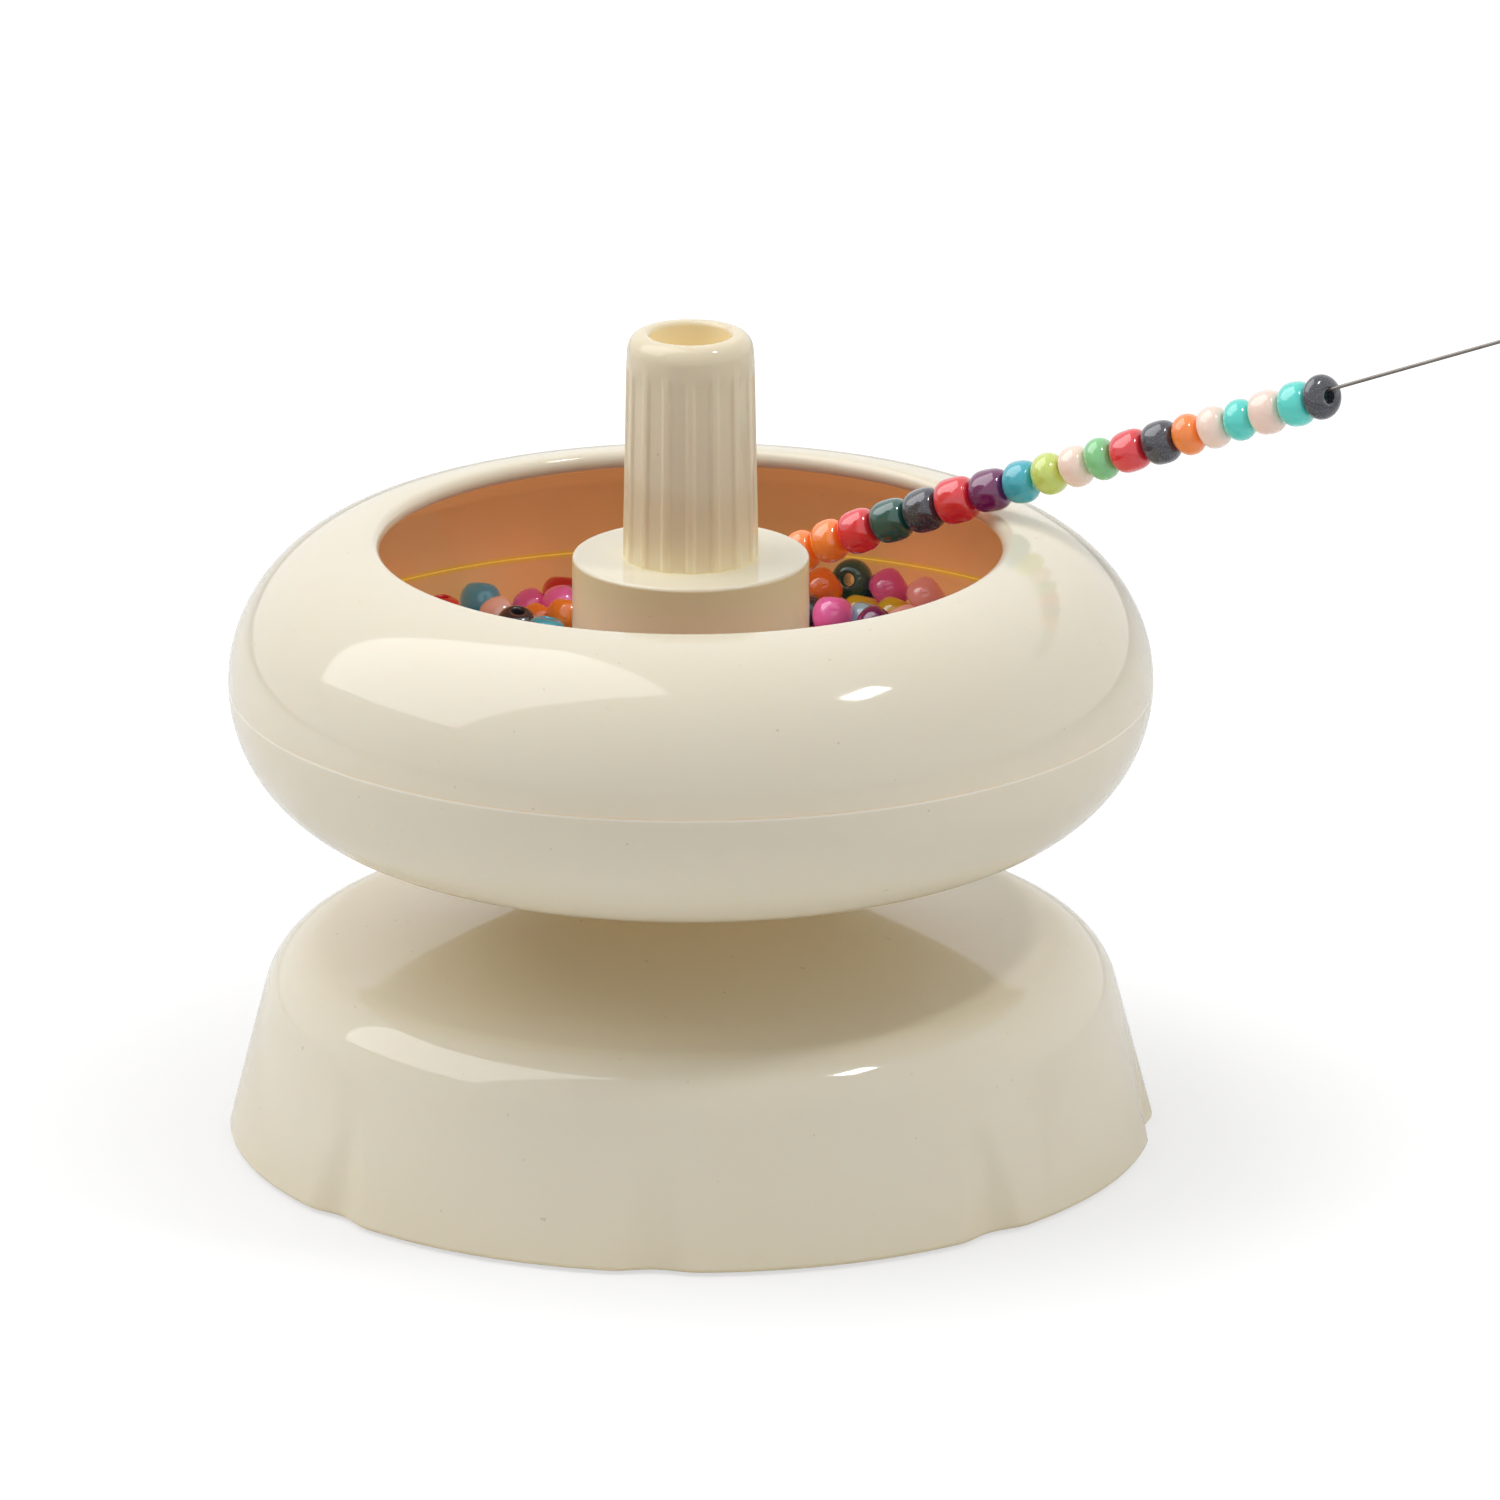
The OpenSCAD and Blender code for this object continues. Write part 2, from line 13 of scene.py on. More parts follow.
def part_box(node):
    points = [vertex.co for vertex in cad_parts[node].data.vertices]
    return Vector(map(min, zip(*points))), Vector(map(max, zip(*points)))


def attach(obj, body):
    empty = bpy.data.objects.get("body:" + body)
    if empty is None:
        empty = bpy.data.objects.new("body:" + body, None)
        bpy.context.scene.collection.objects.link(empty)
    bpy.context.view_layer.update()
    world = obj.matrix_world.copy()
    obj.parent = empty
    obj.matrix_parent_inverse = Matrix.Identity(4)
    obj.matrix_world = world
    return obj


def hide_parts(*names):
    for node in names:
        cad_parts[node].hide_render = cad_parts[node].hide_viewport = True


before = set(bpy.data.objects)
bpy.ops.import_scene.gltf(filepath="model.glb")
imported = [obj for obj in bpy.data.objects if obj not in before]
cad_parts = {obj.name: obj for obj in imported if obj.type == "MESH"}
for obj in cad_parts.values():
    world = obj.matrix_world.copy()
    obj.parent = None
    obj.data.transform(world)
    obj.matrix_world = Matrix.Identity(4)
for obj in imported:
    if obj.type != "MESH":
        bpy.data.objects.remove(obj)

MM = 0.001
LOG = logging.getLogger("bead_spinner")
Point = Tuple[float, float]
Colour = Tuple[float, float, float]
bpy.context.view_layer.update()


# ---------------------------------------------------------------- finishes


class Tree:
    """Short calls for building one material's node tree."""

    def __init__(self, name: str) -> None:
        """Starts a material with an empty tree.

        Args:
            name: The material's name.
        """
        self.material = bpy.data.materials.new(name)
        self.material.use_nodes = True
        self.nodes = self.material.node_tree.nodes
        self.links = self.material.node_tree.links
        self.nodes.clear()
        self.output = self.nodes.new("ShaderNodeOutputMaterial")

    def add(self, kind: str, inputs: Optional[Dict] = None, **settings) -> bpy.types.Node:
        """Adds a node, sets its properties and fills or links its sockets.

        Args:
            kind: The node's type without the ShaderNode prefix.
            inputs: Socket name or index to a value or to another socket.
            **settings: Properties of the node.

        Returns:
            The new node.
        """
        node = self.nodes.new("ShaderNode" + kind)
        for key, value in settings.items():
            setattr(node, key, value)
        for key, value in (inputs or {}).items():
            if isinstance(value, bpy.types.NodeSocket):
                self.links.new(value, node.inputs[key])
            else:
                node.inputs[key].default_value = value
        return node

    def place(self) -> bpy.types.NodeSocket:
        """Returns the object-space position, in metres."""
        return self.add("TexCoord").outputs["Object"]

    def noise(self, scale: float, detail: float = 2.0, where: Optional[bpy.types.NodeSocket] = None) -> bpy.types.NodeSocket:
        """Returns a noise value between 0 and 1.

        Args:
            scale: Waves per metre.
            detail: Octaves.
            where: The position it is read at; object space where left out.
        """
        inputs = {"Vector": where or self.place(), "Scale": scale, "Detail": detail}
        return self.add("TexNoise", inputs).outputs["Fac"]

    def span(self, value: bpy.types.NodeSocket, lo: float, hi: float, out_lo: float, out_hi: float) -> bpy.types.NodeSocket:
        """Maps a value from one range onto another, clamped.

        Args:
            value: The socket that is read.
            lo: Start of the range read.
            hi: End of the range read.
            out_lo: Result at lo.
            out_hi: Result at hi.

        Returns:
            The mapped value's socket.
        """
        inputs = {"Value": value, "From Min": lo, "From Max": hi, "To Min": out_lo, "To Max": out_hi}
        return self.add("MapRange", inputs, clamp=True).outputs["Result"]

    def blend(self, fac, first, second, mode: str = "MIX") -> bpy.types.NodeSocket:
        """Mixes two colours.

        Args:
            fac: Share of the second colour, a number or a socket.
            first: Colour or socket.
            second: Colour or socket.
            mode: The blend type.

        Returns:
            The mixed colour's socket.
        """
        node = self.add("Mix", data_type="RGBA", blend_type=mode)
        for index, value in ((0, fac), (6, first), (7, second)):
            if isinstance(value, bpy.types.NodeSocket):
                self.links.new(value, node.inputs[index])
            elif index == 0:
                node.inputs[index].default_value = value
            else:
                node.inputs[index].default_value = (*value, 1.0)
        return node.outputs[2]

    def sums(self, operation: str, first, second=0.0) -> bpy.types.NodeSocket:
        """Returns the result of a Math node on numbers or sockets.

        Args:
            operation: The Math node's operation.
            first: Number or socket.
            second: Number or socket.
        """
        return self.add("Math", {0: first, 1: second}, operation=operation).outputs[0]

    def bump(self, height: bpy.types.NodeSocket, strength: float, distance: float) -> bpy.types.NodeSocket:
        """Returns a normal made rough by a height.

        Args:
            height: The height's socket.
            strength: Share of the full effect.
            distance: Height of a full step, in metres.
        """
        return self.add("Bump", {"Height": height, "Strength": strength, "Distance": distance}).outputs["Normal"]

    def close(self, shader: bpy.types.NodeSocket) -> bpy.types.Material:
        """Links the shader to the output and returns the material.

        Args:
            shader: The surface shader's socket.
        """
        self.links.new(shader, self.output.inputs["Surface"])
        return self.material


@dataclass(frozen=True)
class CreamPlastic:
    """Glossy moulded plastic, a little milky, with painted shade and a painted glow: where the surface is occluded
    its colour is painted warmer and deeper and an emission is added, standing in for light through thin walls.
    """

    name: str = "cream_plastic"
    colour: Colour = (0.815, 0.750, 0.600)
    # The warmer, deeper colour: the far end of the faint random mottle, and the painted shade where the surface is
    # occluded.
    mottle_and_shade_tint: Colour = (0.82, 0.66, 0.38)
    gloss: float = 0.06
    milk: float = 0.35
    depth: float = 0.0008
    spread: Colour = (1.0, 0.75, 0.55)
    reach: float = 0.016
    # Strength of the painted glow: an emission added where the surface is occluded, standing in for light through the
    # wall.
    glow: float = 0.015
    # How far the colour is painted towards the shade colour where the surface is occluded.
    painted_shade_share: float = 0.75
    # Colour of that painted glow.
    painted_glow_colour: Colour = (1.0, 0.78, 0.50)
    # Height of the top edge under which a painted warm band runs; 0 leaves it out.
    painted_band_top: float = 0.0
    # Whether the inner face of the bowl gets painted warm shade, a painted glow and painted lines of light at the
    # seam.
    inside: bool = False
    inner_face_painted_glow: float = 0.14
    ring_r: float = 28.85
    seam_z: float = 42.7
    inner_wall: float = 11.45

    def build(self) -> bpy.types.Material:
        """Returns the material."""
        t = Tree(self.name)
        mottle = t.noise(90.0, 3.0)
        colour = t.blend(t.span(mottle, 0.3, 0.7, 0.0, 0.06), self.colour, self.mottle_and_shade_tint)
        # Painted shade: ambient occlusion marks where the surface is closed in, and the colour is painted there
        # towards the deeper, warmer tint.
        open_sky = t.add("AmbientOcclusion", {"Distance": self.reach}, samples=6).outputs["AO"]
        hidden = t.span(open_sky, 0.10, 0.80, 1.0, 0.0)
        colour = t.blend(t.sums("MULTIPLY", hidden, self.painted_shade_share), colour, self.mottle_and_shade_tint)
        # Painted glow: emission added in the occluded places, though the plastic is no lamp.
        light = t.sums("MULTIPLY", hidden, self.glow)
        painted_glow_colour = (*self.painted_glow_colour, 1.0)
        up = t.add("SeparateXYZ", {0: t.place()}).outputs[2]
        # Painted light: a warm band just under the top edge, standing in for light shining through that edge.
        if self.painted_band_top:
            top = self.painted_band_top * MM
            painted_band = t.sums("MULTIPLY", t.span(up, top - 0.006, top - 0.0006, 0.0, 0.6), t.span(up, top - 0.0004, top - 0.0001, 1.0, 0.0))
            colour = t.blend(painted_band, colour, self.mottle_and_shade_tint)
        # Inner face: painted warm shade colour and an extra painted glow, standing in for the light that bounces and
        # shines through inside the bowl.
        if self.inside:
            inner = self._inner_face(t)
            # Painted light: a thin yellow line along the inner seam, in the colour and in the glow's colour.
            line = t.span(t.sums("ABSOLUTE", t.sums("SUBTRACT", up, self.seam_z * MM)), 0.00012, 0.00048, 1.0, 0.0)
            colour = t.blend(inner, colour, self._painted_inner_shade(t, line))
            light = t.sums("ADD", light, t.sums("MULTIPLY", inner, self.inner_face_painted_glow))
            painted_glow_colour = t.blend(inner, self.painted_glow_colour, t.blend(line, (1.0, 0.45, 0.15), (0.95, 0.60, 0.10)))
            outer = t.sums("SUBTRACT", 1.0, inner)
            # Painted highlight: a pale line just under the seam on the outer face.
            edge = t.sums("MULTIPLY", t.span(up, (self.seam_z - 0.30) * MM, (self.seam_z - 0.20) * MM, 0.0, 0.55),
                          t.span(up, (self.seam_z - 0.08) * MM, (self.seam_z - 0.02) * MM, 1.0, 0.0))
            colour = t.blend(t.sums("MULTIPLY", edge, outer), colour, (0.99, 0.96, 0.88))
        specks = t.span(t.noise(1500.0, 0.0), 0.865, 0.88, 0.0, 0.28)
        colour = t.blend(specks, colour, (0.42, 0.26, 0.12))
        shader = t.add("BsdfPrincipled", {
            "Base Color": colour,
            "Roughness": t.span(t.noise(260.0, 3.0), 0.3, 0.7, self.gloss - 0.02, self.gloss + 0.03),
            "Subsurface Weight": self.milk,
            "Subsurface Radius": self.spread,
            "Subsurface Scale": self.depth,
            "Specular IOR Level": 0.5,
            "Emission Color": painted_glow_colour,
            "Emission Strength": light,
            "Normal": t.bump(t.noise(55.0, 2.0), 0.5, 0.00005),
        })
        return t.close(shader.outputs["BSDF"])

    def _inner_face(self, t: Tree) -> bpy.types.NodeSocket:
        """Returns 1 on the inner face of the bowl's wall and 0 elsewhere.

        Args:
            t: The tree.
        """
        xyz = t.add("SeparateXYZ", {0: t.place()}).outputs
        radius = t.sums("POWER", t.sums("ADD", t.sums("POWER", xyz[0], 2.0), t.sums("POWER", xyz[1], 2.0)), 0.5)
        across = t.sums("SUBTRACT", radius, self.ring_r * MM)
        up = t.sums("SUBTRACT", xyz[2], self.seam_z * MM)
        off = t.sums("POWER", t.sums("ADD", t.sums("POWER", across, 2.0), t.sums("POWER", up, 2.0)), 0.5)
        return t.span(off, (self.inner_wall + 0.06) * MM, (self.inner_wall + 0.20) * MM, 1.0, 0.0)

    def _painted_inner_shade(self, t: Tree, line: bpy.types.NodeSocket) -> bpy.types.NodeSocket:
        """Returns the painted warm shade of the inner face, with the painted soft yellow line of light along its
        seam.

        Args:
            t: The tree.
            line: Where the painted line of light lies, 1 on it and 0 off it.
        """
        # Painted warm shade colour of the inner face, varied a little at random.
        painted_inner_shade_colour = t.blend(t.span(t.noise(60.0, 2.0), 0.3, 0.7, 0.0, 1.0), (0.86, 0.585, 0.31), (0.88, 0.64, 0.365))
        return t.blend(line, painted_inner_shade_colour, (0.82, 0.58, 0.09))


@dataclass(frozen=True)
class BeadGlass:
    """Opaque glass bead: strong colour, soft gloss, a little unevenness from bead to bead, and a faint painted glow
    in its own colour.
    """

    name: str
    dark: Colour
    light: Colour
    gloss: float = 0.16
    sparkle: float = 0.0

    def build(self) -> bpy.types.Material:
        """Returns the material."""
        t = Tree(self.name)
        tone = t.add("Attribute", attribute_name="bead_tone", attribute_type="GEOMETRY").outputs["Fac"]
        colour = t.blend(tone, self.dark, self.light)
        streak = t.noise(700.0, 3.0)
        colour = t.blend(t.span(streak, 0.35, 0.7, 0.0, 0.06), colour, self.dark)
        if self.sparkle:
            fleck = t.span(t.noise(6500.0, 2.0), 0.52, 0.75, 0.0, self.sparkle)
            colour = t.blend(fleck, colour, (0.30, 0.31, 0.38))
        shader = t.add("BsdfPrincipled", {
            "Base Color": colour,
            "Roughness": t.span(t.noise(1500.0, 2.0), 0.3, 0.7, self.gloss - 0.08, self.gloss),
            "Coat Weight": 1.0,
            "Coat Roughness": 0.04,
            "Subsurface Weight": 0.25,
            "Subsurface Radius": (1.0, 0.8, 0.6),
            "Subsurface Scale": 0.0006,
            # Painted glow: the bead's colour as a faint emission, though the bead is no lamp.
            "Emission Color": colour,
            "Emission Strength": 0.09,
            "Normal": t.bump(t.noise(1400.0, 2.0), 0.15, 0.00002),
        })
        return t.close(shader.outputs["BSDF"])


@dataclass(frozen=True)
class TurnedSteel:
    """Steel with fine lathe rings or draw marks."""

    name: str
    colour: Colour
    roughness: float = 0.28
    rings: float = 9000.0

    def build(self) -> bpy.types.Material:
        """Returns the material."""
        t = Tree(self.name)
        marks = t.add("TexWave", {"Vector": t.place(), "Scale": self.rings, "Distortion": 1.5, "Detail": 2.0},
                      wave_type="BANDS", bands_direction="Z").outputs["Fac"]
        smear = t.noise(420.0, 3.0)
        colour = t.blend(t.span(smear, 0.3, 0.7, 0.0, 0.35), self.colour, tuple(c * 0.6 for c in self.colour))
        shader = t.add("BsdfPrincipled", {
            "Base Color": colour,
            "Metallic": 1.0,
            "Roughness": t.span(smear, 0.3, 0.7, self.roughness, self.roughness + 0.15),
            "Normal": t.bump(marks, 0.2, 0.00001),
        })
        return t.close(shader.outputs["BSDF"])


@dataclass(frozen=True)
class SoftPlastic:
    """Satin plastic or rubber of the hidden parts, with a fine grain."""

    name: str
    colour: Colour
    roughness: float = 0.5
    grain: float = 2600.0

    def build(self) -> bpy.types.Material:
        """Returns the material."""
        t = Tree(self.name)
        grain = t.noise(self.grain, 4.0)
        colour = t.blend(t.span(grain, 0.3, 0.7, 0.0, 0.25), self.colour, tuple(c * 0.7 for c in self.colour))
        shader = t.add("BsdfPrincipled", {
            "Base Color": colour,
            "Roughness": t.span(grain, 0.3, 0.7, self.roughness - 0.06, self.roughness + 0.1),
            "Normal": t.bump(grain, 0.4, 0.00003),
        })
        return t.close(shader.outputs["BSDF"])


@dataclass(frozen=True)
class DeepBeads:
    """The beads under the top layer, seen only through the gaps: small domes of mixed colours, painted darker as in
    shade, with painted shade near black between the domes.
    """

    name: str = "mixed_beads"

    def build(self) -> bpy.types.Material:
        """Returns the material."""
        t = Tree(self.name)
        cells = t.add("TexVoronoi", {"Vector": t.place(), "Scale": 270.0})
        hue = t.add("SeparateColor", {0: cells.outputs["Color"]}).outputs[0]
        ramp = t.add("ValToRGB", {0: hue})
        ramp.color_ramp.interpolation = "CONSTANT"
        # Bead colours painted darker than the loose beads' own, as shaded copies.
        stops = [(0.0, (0.55, 0.10, 0.02)), (0.16, (0.02, 0.12, 0.14)), (0.32, (0.40, 0.03, 0.10)),
                 (0.48, (0.02, 0.05, 0.04)), (0.62, (0.45, 0.20, 0.14)), (0.78, (0.30, 0.02, 0.02))]
        ramp.color_ramp.elements[0].color = (*stops[0][1], 1.0)
        ramp.color_ramp.elements[1].position = stops[1][0]
        ramp.color_ramp.elements[1].color = (*stops[1][1], 1.0)
        for at, paint in stops[2:]:
            ramp.color_ramp.elements.new(at).color = (*paint, 1.0)
        edge = t.span(cells.outputs["Distance"], 0.0, 0.7, 1.0, 0.0)
        # Painted shade: near black between the domes.
        colour = t.blend(t.span(edge, 0.0, 0.5, 0.85, 0.0), ramp.outputs[0], (0.01, 0.008, 0.008))
        shader = t.add("BsdfPrincipled", {
            "Base Color": colour,
            "Roughness": 0.3,
            "Normal": t.bump(edge, 1.0, 0.0012),
        })
        return t.close(shader.outputs["BSDF"])


class Bead(Enum):
    """The bead colours: word, darkest and lightest paint, gloss and metal grain."""

    ORANGE = ("orange", (0.74, 0.100, 0.008), (0.98, 0.255, 0.030), 0.22, 0.0)
    RED = ("red", (0.40, 0.008, 0.012), (0.84, 0.030, 0.044), 0.20, 0.0)
    GREEN = ("green", (0.004, 0.040, 0.034), (0.012, 0.100, 0.078), 0.22, 0.0)
    BLACK = ("black", (0.012, 0.012, 0.020), (0.034, 0.036, 0.052), 0.24, 0.35)
    PURPLE = ("purple", (0.08, 0.006, 0.06), (0.17, 0.004, 0.11), 0.20, 0.0)
    TEAL = ("teal", (0.09, 0.43, 0.64), (0.022, 0.43, 0.53), 0.22, 0.12)
    ROSE = ("rose", (0.52, 0.035, 0.12), (1.00, 0.19, 0.56), 0.22, 0.0)
    PINK = ("pink", (0.84, 0.30, 0.28), (0.96, 0.75, 0.63), 0.20, 0.0)
    YELLOW = ("yellow", (0.52, 0.32, 0.010), (0.92, 0.66, 0.04), 0.22, 0.0)
    SKY = ("sky", (0.09, 0.30, 0.46), (0.38, 0.66, 0.76), 0.22, 0.0)
    LIME = ("lime", (0.44, 0.58, 0.050), (0.62, 0.74, 0.16), 0.20, 0.0)
    LEAF = ("leaf", (0.10, 0.38, 0.110), (0.23, 0.63, 0.26), 0.20, 0.0)
    TURQUOISE = ("turquoise", (0.024, 0.48, 0.42), (0.080, 0.70, 0.62), 0.20, 0.0)

    @property
    def word(self) -> str:
        """The colour's word in node names."""
        return self.value[0]

    def finish(self) -> BeadGlass:
        """Returns the finish of this colour."""
        word, dark, light, gloss, sparkle = self.value
        return BeadGlass("bead_" + word, dark, light, gloss, sparkle)


class Finishes:
    """Builds each finish once and hands out its material."""

    def __init__(self) -> None:
        """Starts with no material built."""
        self._made: Dict[str, bpy.types.Material] = {}

    def get(self, finish) -> bpy.types.Material:
        """Returns the finish's material, building it the first time.

        Args:
            finish: A finish with a name and a build method.
        """
        if finish.name not in self._made:
            self._made[finish.name] = finish.build()
        return self._made[finish.name]


# ---------------------------------------------------------------- modelling


def clear_selection() -> None:
    """Leaves edit mode and deselects every object."""
    if bpy.context.object and bpy.context.object.mode != "OBJECT":
        bpy.ops.object.mode_set(mode="OBJECT")
    bpy.ops.object.select_all(action="DESELECT")


def arc(centre: Point, radius: float, start: float, end: float, steps: int) -> List[Point]:
    """Points along an arc in the plane of radius and height.

    Args:
        centre: The arc's centre, in millimetres.
        radius: Its radius.
        start: First angle, in degrees above outwards.
        end: Last angle.
        steps: Number of stretches.

    Returns:
        The points, both ends included.
    """
    turns = [math.radians(start + (end - start) * i / steps) for i in range(steps + 1)]
    return [(centre[0] + radius * math.cos(a), centre[1] + radius * math.sin(a)) for a in turns]


def eased(before: Point, corner: Point, after: Point, radius: float, steps: int = 5) -> List[Point]:
    """Rounds a corner between two straight stretches.

    Args:
        before: The point before the corner.
        corner: The corner.
        after: The point after the corner.
        radius: Radius of the rounding, in millimetres.
        steps: Stretches along the rounding.

    Returns:
        The points of the rounding, with a close point on each side that keeps the flats flat.
    """
    c, a, b = Vector(corner), Vector(before), Vector(after)
    u, v = (a - c).normalized(), (b - c).normalized()
    half = u.angle(v) / 2
    cut = min(radius / math.tan(half), (a - c).length * 0.45, (b - c).length * 0.45)
    true_r = cut * math.tan(half)
    centre = c + (u + v).normalized() * true_r / math.sin(half)
    first, last = c + u * cut - centre, c + v * cut - centre
    points = [tuple(c + u * cut * 1.12)]
    sweep = first.angle_signed(last)
    for i in range(steps + 1):
        t = -sweep * i / steps
        spun = Vector((first.x * math.cos(t) - first.y * math.sin(t), first.x * math.sin(t) + first.y * math.cos(t)))
        points.append(tuple(centre + spun))
    points.append(tuple(c + v * cut * 1.12))
    return points


@dataclass
class Outline:
    """The half section of a turned piece, built up corner by corner, in millimetres."""

    marks: List[Tuple[str, object, float]] = field(default_factory=list)

    def to(self, r: float, z: float, radius: float = 0.0) -> "Outline":
        """Adds a corner with a rounding and returns the outline.

        Args:
            r: The corner's radius.
            z: Its height.
            radius: Rounding of the corner.
        """
        self.marks.append(("corner", (r, z), radius))
        return self

    def along(self, points: Sequence[Point]) -> "Outline":
        """Adds a run of points as they are and returns the outline.

        Args:
            points: The points.
        """
        self.marks.extend(("fixed", p, 0.0) for p in points)
        return self

    def points(self, closed: bool) -> List[Point]:
        """Returns the outline's points with every rounding made.

        Args:
            closed: Whether the last point joins the first.
        """
        out: List[Point] = []
        n = len(self.marks)
        for i, (_, p, radius) in enumerate(self.marks):
            ends = (i == 0 or i == n - 1) and not closed
            if radius > 0 and not ends:
                out.extend(eased(self.marks[i - 1][1], p, self.marks[(i + 1) % n][1], radius))
            else:
                out.append(p)
        clean = [out[0]]
        for p in out[1:]:
            if math.dist(p, clean[-1]) > 1e-4:
                clean.append(p)
        return clean


def turned(name: str, outline: Outline, steps: int, closed: bool = True) -> bpy.types.Object:
    """Draws an outline from one vertex by extruding it, then spins it round the spindle's axis.

    Args:
        name: The new object's name.
        outline: The half section.
        steps: Steps of the full turn.
        closed: Whether the outline closes on itself; otherwise both its ends lie on the axis.

    Returns:
        The turned object.
    """
    points = outline.points(closed)
    clear_selection()
    bpy.ops.mesh.primitive_plane_add(size=MM, location=(0, 0, 0))
    obj = bpy.context.object
    obj.name = obj.data.name = name
    bpy.ops.object.mode_set(mode="EDIT")
    bpy.ops.mesh.merge(type="CENTER")
    at = Vector((0, 0, 0))
    for i, (r, z) in enumerate(points):
        goal = Vector((r * MM, 0, z * MM))
        if i == 0:
            bpy.ops.transform.translate(value=goal - at)
        else:
            bpy.ops.mesh.extrude_region_move(TRANSFORM_OT_translate={"value": goal - at})
        at = goal
    bpy.ops.mesh.select_all(action="SELECT")
    if closed:
        first = Vector((points[0][0] * MM, 0, points[0][1] * MM))
        bpy.ops.mesh.select_all(action="DESELECT")
        bpy.ops.object.mode_set(mode="OBJECT")
        obj.data.vertices[len(obj.data.vertices) - 1].select = True
        bpy.ops.object.mode_set(mode="EDIT")
        bpy.ops.mesh.extrude_region_move(TRANSFORM_OT_translate={"value": first - at})
        bpy.ops.mesh.select_all(action="SELECT")
        bpy.ops.mesh.remove_doubles(threshold=1e-7)
        bpy.ops.mesh.select_all(action="SELECT")
    bpy.ops.mesh.spin(steps=steps, angle=2 * math.pi, center=(0, 0, 0), axis=(0, 0, 1))
    bpy.ops.mesh.select_all(action="SELECT")
    bpy.ops.mesh.remove_doubles(threshold=2e-7)
    bpy.ops.mesh.normals_make_consistent(inside=False)
    bpy.ops.object.mode_set(mode="OBJECT")
    bpy.ops.object.shade_smooth()
    return obj


def shape(obj: bpy.types.Object, move: Callable[[float, float, float], Tuple[float, float, float]]) -> None:
    """Moves every vertex by a rule on its turn, radius and height.

    Args:
        obj: The object.
        move: Takes angle in radians and radius and height in millimetres, and returns the same three.
    """
    for v in obj.data.vertices:
        angle, radius = math.atan2(v.co.y, v.co.x), math.hypot(v.co.x, v.co.y) / MM
        if radius > 1e-6:
            a, r, z = move(angle, radius, v.co.z / MM)
            v.co = (r * MM * math.cos(a), r * MM * math.sin(a), z * MM)
    obj.data.update()


def dress(obj: bpy.types.Object, material: bpy.types.Material) -> None:
    """Gives an object one material.

    Args:
        obj: The object.
        material: Its material.
    """
    obj.data.materials.clear()
    obj.data.materials.append(material)


def join(parts: Sequence[bpy.types.Object], name: str) -> bpy.types.Object:
    """Joins objects into one and names it.

    Args:
        parts: The objects; the first gives its origin.
        name: The name of the result.

    Returns:
        The joined object.
    """
    clear_selection()
    for part in parts:
        part.select_set(True)
    bpy.context.view_layer.objects.active = parts[0]
    if len(parts) > 1:
        bpy.ops.object.join()
    obj = bpy.context.object
    obj.name = obj.data.name = name
    return obj


def settle(obj: bpy.types.Object) -> None:
    """Applies the object's place to its mesh, so that it sits at the origin.

    Args:
        obj: The object.
    """
    clear_selection()
    obj.select_set(True)
    bpy.context.view_layer.objects.active = obj
    bpy.ops.object.transform_apply(location=True, rotation=True, scale=True)


# ---------------------------------------------------------------- the base


